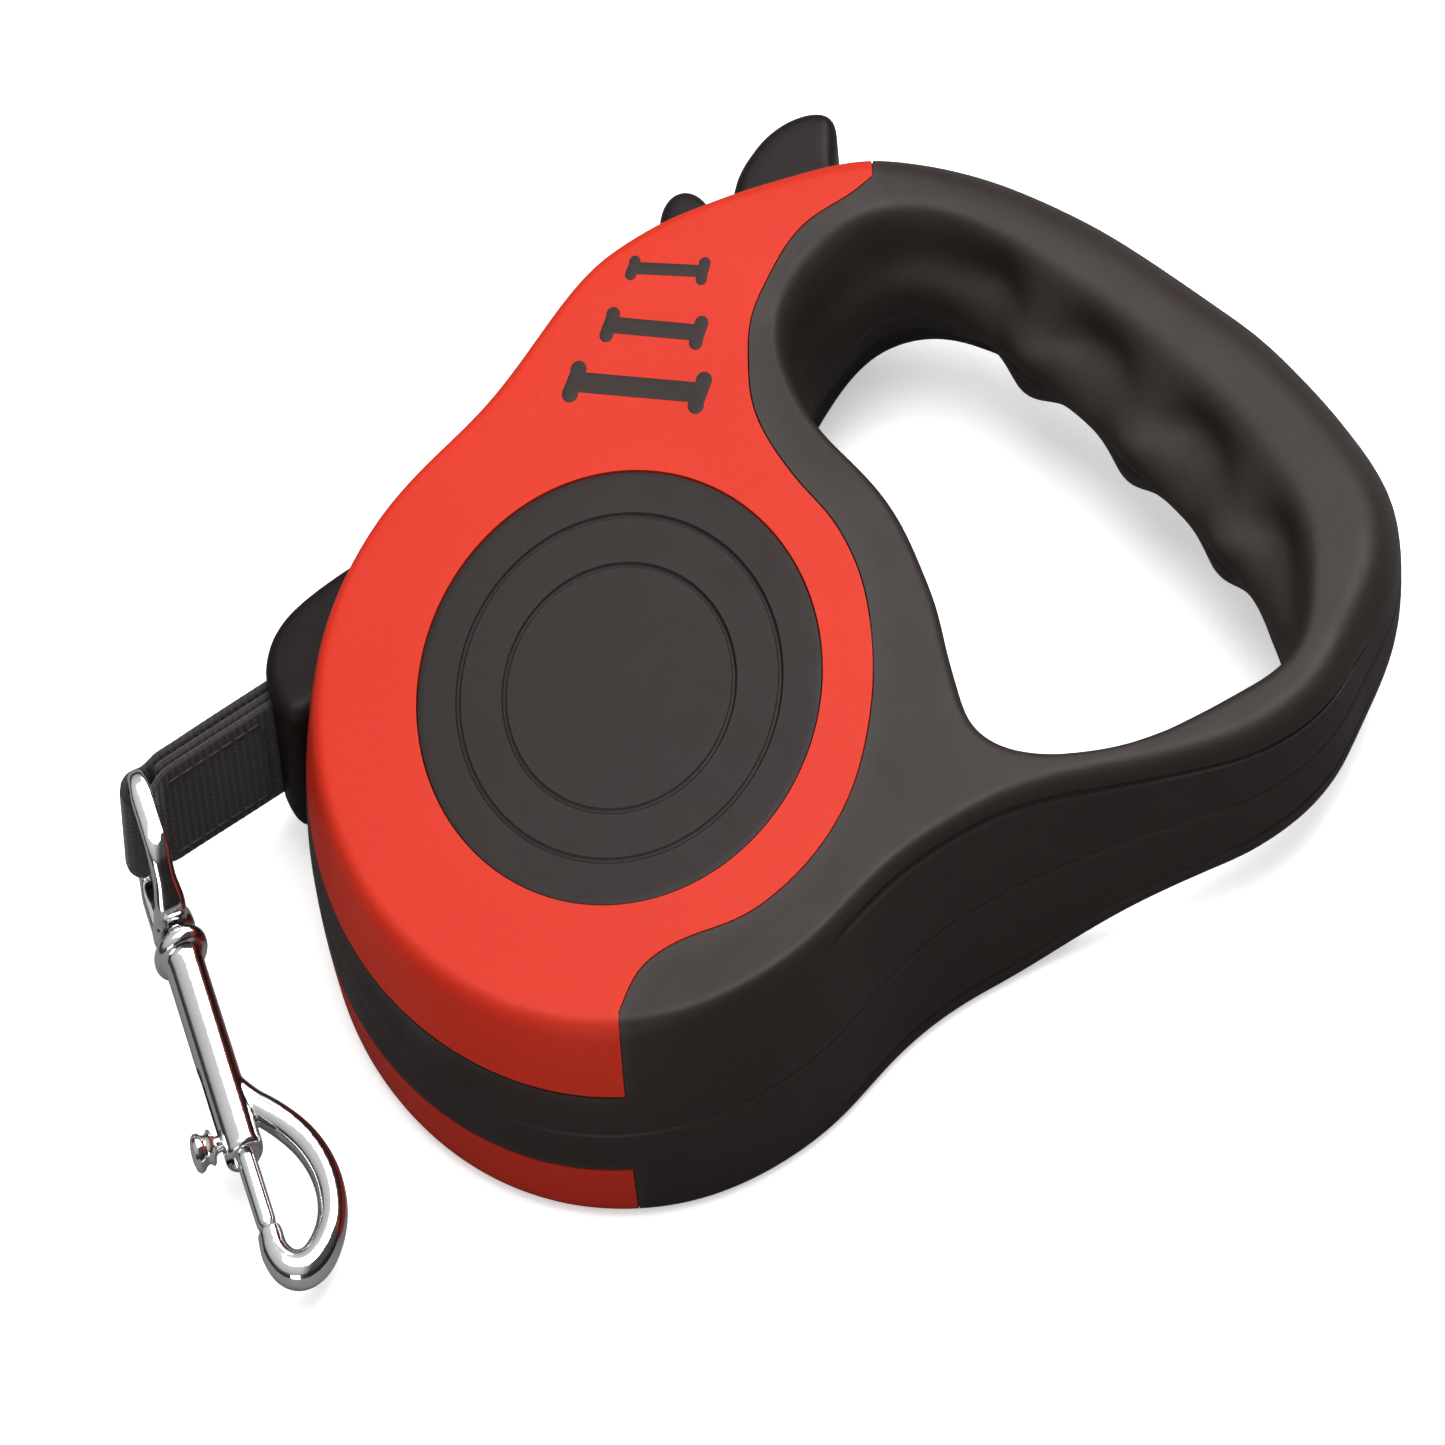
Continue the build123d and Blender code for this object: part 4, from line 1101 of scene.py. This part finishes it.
# return spring under the lever arm, which shortens as the lever goes down
def coil(M, at, r, wire, length, turns):
    """A coil spring with closed ends; at(u, a, b) places a point u along the axis."""
    n = int(turns * 22)
    P = []
    for k in range(n + 1):
        f = k / n
        u = wire + (length - 2 * wire) * float(np.interp(f * turns, [0, 0.9, turns - 0.9, turns], [0, 0.12, 0.88, 1]))
        a = 2 * math.pi * f * turns
        P.append(at(u, r * math.cos(a), r * math.sin(a)))
    tube(M, P, wire, 8)


BS_Y0, BS_Y1 = 37.75, 43.75


# --------------------------------------------------------------------------
# strap: doubled and stitched leader round the clip's eye, single tape inside
# --------------------------------------------------------------------------
EYE = np.array([-65.0, 33.7, 15.0])
AZ, TILT = math.radians(-98.0), math.radians(9.0)
CD = np.array([math.cos(AZ) * math.cos(TILT), math.sin(AZ) * math.cos(TILT), -math.sin(TILT)])
CB = np.array([math.cos(AZ) * math.sin(TILT), math.sin(AZ) * math.sin(TILT), math.cos(TILT)])
CL = np.cross(CB, CD)


def strip(M, path, half_t, z0, z1, rib=0.10, pitch=1.15, lean=None, zs=14, soft=0.55):
    """A woven tape: path in x, y with thickness 2 half_t, ribs across it and soft selvedges."""
    P = np.asarray(path, float)
    L = chord(P, False)
    n = int(L[-1] / (pitch / 5)) + 1
    f = cubic(L, P, False) if len(P) > 2 else (lambda t: P[0] + (P[1] - P[0]) * (np.atleast_1d(t)[:, None] / L[-1]))
    t = np.linspace(0, L[-1], n)
    C = f(t)
    T = np.gradient(C, axis=0)
    T /= np.linalg.norm(T, axis=1)[:, None]
    Nn = np.c_[-T[:, 1], T[:, 0]]
    # section of the tape: z positions over one face, round the edge, back over the other face
    zc = np.linspace(z0 + soft, z1 - soft, zs)
    a = np.linspace(-math.pi / 2, math.pi / 2, 7)[1:-1]
    sec = [(1, z, 1.0) for z in zc] + [(math.cos(k + math.pi / 2), z1 - soft + soft * math.sin(k + math.pi / 2), 0.3) for k in a]
    sec += [(-1, z, 1.0) for z in zc[::-1]] + [(-math.cos(k + math.pi / 2), z0 + soft - soft * math.sin(k + math.pi / 2), 0.3) for k in a]
    rows = []
    for i in range(n):
        end = min(1.0, min(t[i], L[-1] - t[i]) / 0.5)
        row = []
        for j, (o, z, w) in enumerate(sec):
            cord = math.sin(2 * math.pi * (t[i] / pitch + 0.06 * math.sin(2 * math.pi * z / 1.9)))
            h = (half_t + rib * w * (0.5 * cord - 0.2)) * (0.35 + 0.65 * math.sqrt(max(0.0, 1 - (1 - end) ** 2)))
            x, y = C[i] + Nn[i] * h * o
            if lean is not None:
                y += lean(C[i][0]) * (z - MID)
            row.append((x, y, z))
        rows.append(row)
    M.grid(np.array(rows).transpose(0, 1, 2), closed=True)
    m = len(sec)
    for r, fl in ((rows[0], False), (rows[-1], True)):
        c = np.mean(r, axis=0)
        F = [(0, (k + 1) % m + 1, k + 1) if not fl else (0, k + 1, (k + 1) % m + 1) for k in range(m)]
        M.add([tuple(c)] + [tuple(q) for q in r], F)


def tube(M, P, r, n=12, cap=True):
    """A round rod along points P with radius r (one or one per point)."""
    P = np.asarray(P, float)
    r = np.full(len(P), r) if np.isscalar(r) else np.asarray(r, float)
    T = np.gradient(P, axis=0)
    T /= np.linalg.norm(T, axis=1)[:, None]
    up = np.array([0.0, 0.0, 1.0]) if abs(T[0][2]) < 0.9 else np.array([1.0, 0.0, 0.0])
    u = up - T[0] * (up @ T[0])
    u /= np.linalg.norm(u)
    rows = []
    for i in range(len(P)):
        u = u - T[i] * (u @ T[i])
        u /= np.linalg.norm(u)
        w = np.cross(T[i], u)
        rows.append([P[i] + r[i] * (math.cos(a) * u + math.sin(a) * w) for a in 2 * math.pi * np.arange(n) / n])
    M.grid(np.array(rows), closed=True)
    if cap:
        for row, q, fl in ((rows[0], P[0] - T[0] * r[0] * 0.5, False), (rows[-1], P[-1] + T[-1] * r[-1] * 0.5, True)):
            F = [(0, (k + 1) % n + 1, k + 1) if not fl else (0, k + 1, (k + 1) % n + 1) for k in range(n)]
            M.add([tuple(q)] + [tuple(x) for x in row], F)


Z0, Z1 = 8.2, 22.45
lean_k = CB[1] / CB[2]
lean = lambda x: lean_k * float(smooth01((-60.0 - x) / 4.5))
SM = Mesh()
loop = [(-38.6, 35.02), (-49.0, 35.04), (-55.0, 35.0), (-60.5, 35.0), (-63.2, 35.35)]
loop += [(-65.0 + 2.1 * math.cos(a), 33.7 + 2.1 * math.sin(a)) for a in np.radians([75, 100, 125, 150, 180, 210, 235, 260, 285])]
loop += [(-63.2, 32.05), (-60.5, 32.35), (-55.0, 32.38), (-49.0, 32.36), (-38.6, 32.38)]
strip(SM, loop, 0.62, Z0, Z1, lean=lean)
strip(SM, [(-61.6, 33.70), (-56.0, 33.70), (-50.0, 33.70), (-38.7, 33.70)], 0.62, Z0 + 0.15, Z1 - 0.15, rib=0.06, lean=lean)
strip(SM, [(-39.2, 33.70), (-30.0, 33.70), (-15.0, 33.70), (-0.5, 33.70)], 0.40, 7.6, 22.4, rib=0.08)
strap = SM.build("strap_tape")
smooth(strap, 50)
give(strap, "strap_webbing")
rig.ride(strap, "strap_run")
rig.replaces(strap, "strap")

# stitches: two rows along the leader and a bar tack at each end, on both faces
TM = Mesh()
for ysurf, sg in ((35.02 + 0.62, 1), (32.38 - 0.62, -1)):
    for z in (Z0 + 1.5, Z1 - 1.5):
        x = -60.4
        while x < -45.8:
            k = lambda q, z=z: lean(q) * (z - MID)
            pts = [(x, ysurf - sg * 0.22 + k(x), z), (x + 0.25, ysurf + sg * 0.02 + k(x), z), (x + 0.95, ysurf + sg * 0.06 + k(x + .9), z + 0.05),
                   (x + 1.65, ysurf + sg * 0.02 + k(x + 1.6), z), (x + 1.9, ysurf - sg * 0.22 + k(x + 1.9), z)]
            tube(TM, pts, 0.19, 8)
            x += 2.25
    for xb in (-60.9, -44.6):
        z = Z0 + 1.7
        while z < Z1 - 3.2:
            k = lambda z: lean(xb) * (z - MID)
            pts = [(xb, ysurf - sg * 0.22 + k(z), z), (xb, ysurf + sg * 0.02 + k(z), z + 0.25), (xb + 0.04, ysurf + sg * 0.06 + k(z + .9), z + 0.95),
                   (xb, ysurf + sg * 0.02 + k(z + 1.6), z + 1.6), (xb, ysurf - sg * 0.22 + k(z + 1.85), z + 1.85)]
            tube(TM, pts, 0.19, 8)
            z += 2.2
threads = TM.build("strap_stitching")
smooth(threads, 60)
threads.data.materials.append(plastic("mat_thread", (0.020, 0.017, 0.016), (0.030, 0.026, 0.025), (0.045, 0.04, 0.038), rough=(0.5, 0.7), grain=0.6, grain_scale=5000, wear=0))
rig.slot(threads, "strap_webbing")
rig.ride(threads, "strap_run")

# --------------------------------------------------------------------------
# clip: eye, barrel with ring hook, spring bolt and thumb knob
# --------------------------------------------------------------------------
def clip_pt(S, L, Z):
    return EYE + S * CD + L * CL + Z * CB


def lathe(M, prof, n=40, ax="S", base=(0, 0, 0)):
    """Turned shape: prof is (distance along the axis, radius)."""
    rows = []
    for s_, r in prof:
        r = max(r, 1e-4)
        ring = []
        for k in range(n):
            a = 2 * math.pi * k / n
            if ax == "S":
                ring.append(clip_pt(base[0] + s_, base[1] + r * math.cos(a), base[2] + r * math.sin(a)))
            else:          # axis along -L
                ring.append(clip_pt(base[0] + r * math.cos(a), base[1] - s_, base[2] + r * math.sin(a)))
        rows.append(ring)
    M.grid(np.array(rows), closed=True)
    for row, q, fl in ((rows[0], prof[0], False), (rows[-1], prof[-1], True)):
        c = np.mean(row, axis=0)
        F = [(0, (k + 1) % n + 1, k + 1) if not fl else (0, k + 1, (k + 1) % n + 1) for k in range(n)]
        M.add([tuple(c)] + [tuple(x) for x in row], F)


def section_sweep(M, path, half_l, half_n, n=20, closed=True):
    """Sweep of a rounded section along a path in the S, Z plane of the clip."""
    P = np.asarray(path, float)
    m = len(P)
    T = (np.roll(P, -1, axis=0) - np.roll(P, 1, axis=0)) if closed else np.gradient(P, axis=0)
    T /= np.linalg.norm(T, axis=1)[:, None]
    Nn = np.c_[-T[:, 1], T[:, 0]]
    rows = []
    for i in range(m):
        ring = []
        for k in range(n):
            a = 2 * math.pi * k / n
            ca, sa = math.cos(a), math.sin(a)
            e = 0.72
            x = half_l[i] * math.copysign(abs(ca) ** e, ca)
            y = half_n[i] * math.copysign(abs(sa) ** e, sa)
            S_, Z_ = P[i] + Nn[i] * y
            ring.append(clip_pt(S_, x, Z_))
        rows.append(ring)
    if closed:
        rows.append(rows[0])
    M.grid(np.array(rows), closed=True)


def cast(o, voxel, passes):
    """Melts crossing bodies into one casting with soft fillets."""
    import bmesh
    bm = bmesh.new()
    bm.from_mesh(o.data)
    bmesh.ops.recalc_face_normals(bm, faces=bm.faces)
    bm.to_mesh(o.data)
    bm.free()
    m = o.modifiers.new("melt", "REMESH")
    m.mode = "VOXEL"
    m.voxel_size = voxel * MM
    m.use_smooth_shade = True
    k = o.modifiers.new("soft", "SMOOTH")
    k.factor = 0.5
    k.iterations = passes
    apply_mods(o)
    o.data.polygons.foreach_set("use_smooth", [True] * len(o.data.polygons))
    return o


# eye: bar inside the strap fold, two arms, cross plate with a boss
path = resample(round_poly([(0, -9.8), (0, 9.8), (9.2, 9.8), (14.1, 4.0), (14.1, -4.0), (9.2, -9.8)], [1.9, 1.9, 4.0, 2.5, 2.5, 4.0], 6), 0.55)
hl, hn = [], []
for S_, Z_ in path:
    t = float(smooth01((S_ - 0.2) / 3.0))
    p = float(smooth01((S_ - 11.5) / 2.2))
    hl.append(1.30 * (1 - t) + (1.75 * (1 - p) + 2.3 * p) * t)
    hn.append(1.30 * (1 - t) + (1.15 * (1 - p) + 1.15 * p) * t)
EM = Mesh()
section_sweep(EM, path, hl, hn)
lathe(EM, [(12.75, 0.0), (12.75, 2.6), (13.0, 3.1), (14.6, 3.3), (15.3, 2.9), (15.35, 0.0)])
eye = EM.build("swivel_eye_cast")
cast(eye, 0.22, 6)
give(eye, "clip_chrome")
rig.ride(eye, "clip_eye")
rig.replaces(eye, "swivel_eye")

BMh = Mesh()
lathe(BMh, [(11.0, 0.0), (11.0, 1.7), (11.25, 2.25), (12.25, 2.35), (12.55, 1.7), (12.7, 1.5), (15.7, 1.5), (15.85, 2.6), (16.2, 3.6), (16.7, 4.1), (17.5, 4.2),
            (18.1, 3.9), (18.45, 3.3), (18.9, 3.0), (20.0, 2.95), (30, 3.0), (44.4, 3.05), (44.95, 2.85), (45.2, 2.3), (45.2, 0.0)])
hook = [(36.0, 0.6), (38.5, 2.6), (41, 5.0), (43.4, 7.0), (46, 8.7), (48.6, 9.8), (51, 10.35), (53.6, 10.4), (56, 9.9), (58.2, 8.8), (60, 7.2),
        (61.2, 5.4), (61.6, 3.4), (61.1, 1.8), (60, 0.7), (58.8, 0.15), (57.6, -0.1), (56.3, 0.0), (55.3, 0.0)]
ht = chord(hook, False)
hf = cubic(ht, hook, False)
hs = np.linspace(0, ht[-1], 90)
hr = np.interp(hs / ht[-1], [0, 0.12, 0.3, 0.55, 0.72, 0.88, 1.0], [2.3, 1.9, 2.05, 2.25, 2.4, 2.25, 1.9])
tube(BMh, [clip_pt(a, b_, 0) for a, b_ in hf(hs)], hr, 20)
body = BMh.build("snap_body_cast")
# slot for the thumb knob
slot_loc = [(33.2, 0), (43.6, 0)]
KMs = Mesh()
sl = [(33.2 + 1.15 * math.cos(a), 1.15 * math.sin(a)) for a in np.linspace(math.pi / 2, 3 * math.pi / 2, 12)]
sl += [(46.2 + 1.15 * math.cos(a), 1.15 * math.sin(a)) for a in np.linspace(-math.pi / 2, math.pi / 2, 12)]
top = [clip_pt(a, -0.2, z) for a, z in sl]
bot = [clip_pt(a, -4.5, z) for a, z in sl]
KMs.add(top + bot, [tuple(range(len(sl))), tuple(range(2 * len(sl) - 1, len(sl) - 1, -1))]
        + [(k, k + len(sl), (k + 1) % len(sl) + len(sl), (k + 1) % len(sl)) for k in range(len(sl))])
cutter = KMs.build("cutter")
cast(body, 0.2, 5)
import bmesh
bm = bmesh.new()
bm.from_mesh(cutter.data)
bmesh.ops.recalc_face_normals(bm, faces=bm.faces)
bm.to_mesh(cutter.data)
bm.free()
mod = body.modifiers.new("slot", "BOOLEAN")
mod.operation = "DIFFERENCE"
mod.object = cutter
mod.solver = "EXACT"
apply_mods(body)
bpy.data.objects.remove(cutter)
smooth(body, 50)
give(body, "clip_chrome")
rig.ride(body, "clip_snap")
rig.replaces(body, "snap_body")

PM = Mesh()
lathe(PM, [(37.0, 0.0), (37.0, 1.3), (37.2, 1.5), (53.9, 1.5), (54.5, 1.35), (54.85, 0.9), (54.9, 0.0)], 32)
VM = Mesh()
coil(VM, lambda u, a, b: clip_pt(19.9 + u, a, b), 1.25, 0.26, 16.9, 9)
spring = VM.build("bolt_spring_coil")
smooth(spring, 50)
give(spring, "spring_steel")
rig.ride(spring, "clip_snap")
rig.replaces(spring, "bolt_spring")
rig.squash(spring, "bolt_slide", axis=tuple(float(c) for c in CD), anchor=tuple(float(c) for c in clip_pt(19.9, 0, 0) * MM), keep=0.52)
WM = Mesh()
coil(WM, lambda u, a, b: np.array([54.0 + a, BS_Y0 + u, MID + b]), 2.1, 0.3, BS_Y1 - BS_Y0, 3.6)
bspring = WM.build("brake_spring_coil")
smooth(bspring, 50)
give(bspring, "spring_steel")
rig.ride(bspring, "casing")
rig.replaces(bspring, "brake_spring")
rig.squash(bspring, "brake_press", axis=(0, 1, 0), anchor=(0.054, BS_Y0 * MM, MID * MM), keep=0.36)

bolt = PM.build("snap_bolt_rod")
smooth(bolt, 35)
give(bolt, "clip_chrome")
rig.ride(bolt, "clip_bolt")
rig.replaces(bolt, "snap_bolt")
QM = Mesh()
lathe(QM, [(0.8, 0.0), (0.8, 0.95), (3.5, 0.95), (3.9, 1.2), (4.15, 1.9), (4.5, 2.1), (4.85, 1.75), (5.2, 1.65), (5.6, 1.8), (6.0, 2.15), (6.6, 2.25), (7.1, 1.9), (7.35, 1.1), (7.4, 0.0)],
      32, ax="L", base=(42.0, 0, 0))
knob = QM.build("bolt_knob_turned")
smooth(knob, 35)
give(knob, "clip_chrome")
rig.ride(knob, "clip_bolt")
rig.replaces(knob, "bolt_knob")

# --------------------------------------------------------------------------
# floor, light, camera
# --------------------------------------------------------------------------
def floor_mat():
    """Pale matt paper; it throws only a little light back up, as a lit sweep seen past black flags does."""
    m, nt, b, tc = new_mat("mat_floor")
    col = ramp(nt, noise(nt, tc, 6, 3), [(0.3, (0.93, 0.93, 0.93)), (0.7, (0.96, 0.96, 0.96))])
    lp = nt.nodes.new("ShaderNodeLightPath")
    gl = mix_color(nt, lp.outputs["Is Glossy Ray"], (FLOOR_D, FLOOR_D * 0.97, FLOOR_D * 0.96), (FLOOR_G, FLOOR_G * 0.97, FLOOR_G * 0.96))
    nt.links.new(mix_color(nt, lp.outputs["Is Camera Ray"], gl, col), b.inputs["Base Color"])
    b.inputs["Roughness"].default_value = 0.6
    b.inputs["Specular IOR Level"].default_value = 0.1
    b.inputs["Emission Color"].default_value = (1, 1, 1, 1)
    nt.links.new(math_node(nt, "MULTIPLY", lp.outputs["Is Camera Ray"], 0.42), b.inputs["Emission Strength"])
    return m


FLOOR_D, FLOOR_G = 0.22, 0.16
fm_ = bpy.data.meshes.new("floor")
S = 6.0
fm_.from_pydata([(-S, -S, -0.0001), (S, -S, -0.0001), (S, S, -0.0001), (-S, S, -0.0001)], [], [(0, 1, 2, 3)])
floor = bpy.data.objects.new("floor", fm_)
scene.collection.objects.link(floor)
floor.data.materials.append(floor_mat())
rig.stage(floor)

world = bpy.data.worlds.new("world")
scene.world = world
world.use_nodes = True
wt = world.node_tree
wt.nodes.clear()
wo = wt.nodes.new("ShaderNodeOutputWorld")
bg = wt.nodes.new("ShaderNodeBackground")
wt.links.new(bg.outputs[0], wo.inputs[0])
wc = wt.nodes.new("ShaderNodeTexCoord")
ws = wt.nodes.new("ShaderNodeSeparateXYZ")
wt.links.new(wc.outputs["Generated"], ws.inputs[0])
g3 = lambda v: (v, v, v)
dome = ramp(wt, ws.outputs[2], [(0.0, g3(0.10)), (0.22, g3(0.16)), (0.45, g3(0.70)), (0.75, g3(1.0)), (1.0, g3(1.0))])
tent = ramp(wt, ws.outputs[2], [(0.0, (0.05, 0.040, 0.036)), (0.10, (0.03, 0.022, 0.020)), (0.30, g3(0.08)), (0.42, g3(0.42)), (0.60, g3(0.52)), (1.0, g3(0.75))])
wl = wt.nodes.new("ShaderNodeLightPath")
side = math_node(wt, "SUBTRACT", math_node(wt, "MULTIPLY", ws.outputs[0], 0.85), math_node(wt, "MULTIPLY", ws.outputs[1], 0.5))
flag = mix_color(wt, maprange(wt, side, 0.12, 0.42, 0.0, 0.9), tent, (0.015, 0.012, 0.011))
w1 = mix_color(wt, wl.outputs["Is Glossy Ray"], dome, flag)
w2 = mix_color(wt, wl.outputs["Is Camera Ray"], w1, (1, 1, 1))
wt.links.new(w2, bg.inputs[0])
bg.inputs[1].default_value = 1.0


def area(name, loc, target, size, power, sy=None):
    L = bpy.data.lights.new(name, "AREA")
    L.shape = "RECTANGLE"
    L.size, L.size_y = size, sy or size
    L.energy = power
    o = bpy.data.objects.new(name, L)
    scene.collection.objects.link(o)
    o.location = loc
    o.rotation_euler = (Vector(target) - Vector(loc)).to_track_quat("-Z", "Y").to_euler()
    return o


area("key", (0.66, 0.26, 0.85), (0.02, 0, 0), 0.8, 7.5)
area("top", (0.06, -0.05, 1.15), (0.02, 0, 0), 0.9, 8.4)
area("fill", (-0.80, -0.95, 0.14), (0.0, -0.02, 0.01), 0.5, 2.4)
sheen = area("sheen", (0.120, 0.150, 0.235), (0.045, -0.045, 0.0245), 0.15, 0.10)
sheen.visible_diffuse = False

# camera: the line of sight is 48 degrees above the face; the film plane is nearly level with it
PHI = math.radians(21.0)
K, SS, CC, SN = 6.74537, 1.411, 0.748004, 0.66370
PC = np.array([619.84, 688.05])
pd_, nd_ = (0.98922, -0.14640), (0.14640, 0.98922)
ax = {"p": np.array([math.cos(PHI), -math.sin(PHI), 0]), "q": np.array([math.sin(PHI), math.cos(PHI), 0]), "z": np.array([0, 0, 1.0])}
Gx = pd_[0] * ax["p"] - nd_[0] * (CC * ax["q"] + SN * ax["z"])
Gy = SS * (-pd_[1] * ax["p"] + nd_[1] * (CC * ax["q"] + SN * ax["z"]))
v = SN * ax["q"] - CC * ax["z"]
Rr = Gx / np.linalg.norm(Gx)
gy = Gy / np.linalg.norm(Gy)
sv = np.linalg.norm(Gy) / np.linalg.norm(Gx)
bb = math.sqrt(sv * sv - 1)
U = (gy + bb * v) / sv
F_ = (v - bb * gy) / sv
LENS = 340.0
fpx = LENS / 36.0 * 1445
dist = fpx / (K * 0.7087) * MM
# the point that falls on the middle of the picture, in the plane z = 15
M2 = np.array([[Gx[0], Gx[1]], [Gy[0], Gy[1]]]) * K
target = np.array([722.5 - PC[0], -(722.5 - PC[1])])
rhs = target - K * np.array([Gx[2], Gy[2]]) * (15 - 30)
xy = np.linalg.solve(M2, rhs)
P0 = np.array([xy[0], xy[1], 15.0]) * MM
cam_data = bpy.data.cameras.new("camera")
cam = bpy.data.objects.new("camera", cam_data)
scene.collection.objects.link(cam)
scene.camera = cam
cam_data.lens = LENS
cam_data.sensor_width = 36
cam_data.clip_start, cam_data.clip_end = 0.05, 50
loc = P0 - v * dist
Rm = Matrix(((Rr[0], U[0], -F_[0]), (Rr[1], U[1], -F_[1]), (Rr[2], U[2], -F_[2])))
cam.rotation_mode = "QUATERNION"
cam.location = Vector(loc)
cam.rotation_quaternion = Rm.to_quaternion()
shift = bb * LENS / 36.0
# the film offset belongs to this camera place only; anywhere else it is nought
drv = cam_data.driver_add("shift_y").driver
drv.type = "SCRIPTED"
var = drv.variables.new()
var.name = "h"
var.type = "TRANSFORMS"
var.targets[0].id = cam
var.targets[0].transform_type = "LOC_Z"
var.targets[0].transform_space = "WORLD_SPACE"
drv.expression = "%.6f if abs(h - %.6f) < 0.0005 else 0.0" % (shift, loc[2])
cam_data.shift_y = shift

scene.view_settings.view_transform = "Standard"
scene.view_settings.look = "None"

lo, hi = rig.bounds()
json.dump({"cad": [list(cad_lo), list(cad_hi)], "visual": [list(lo), list(hi)]}, open("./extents.json", "w"))
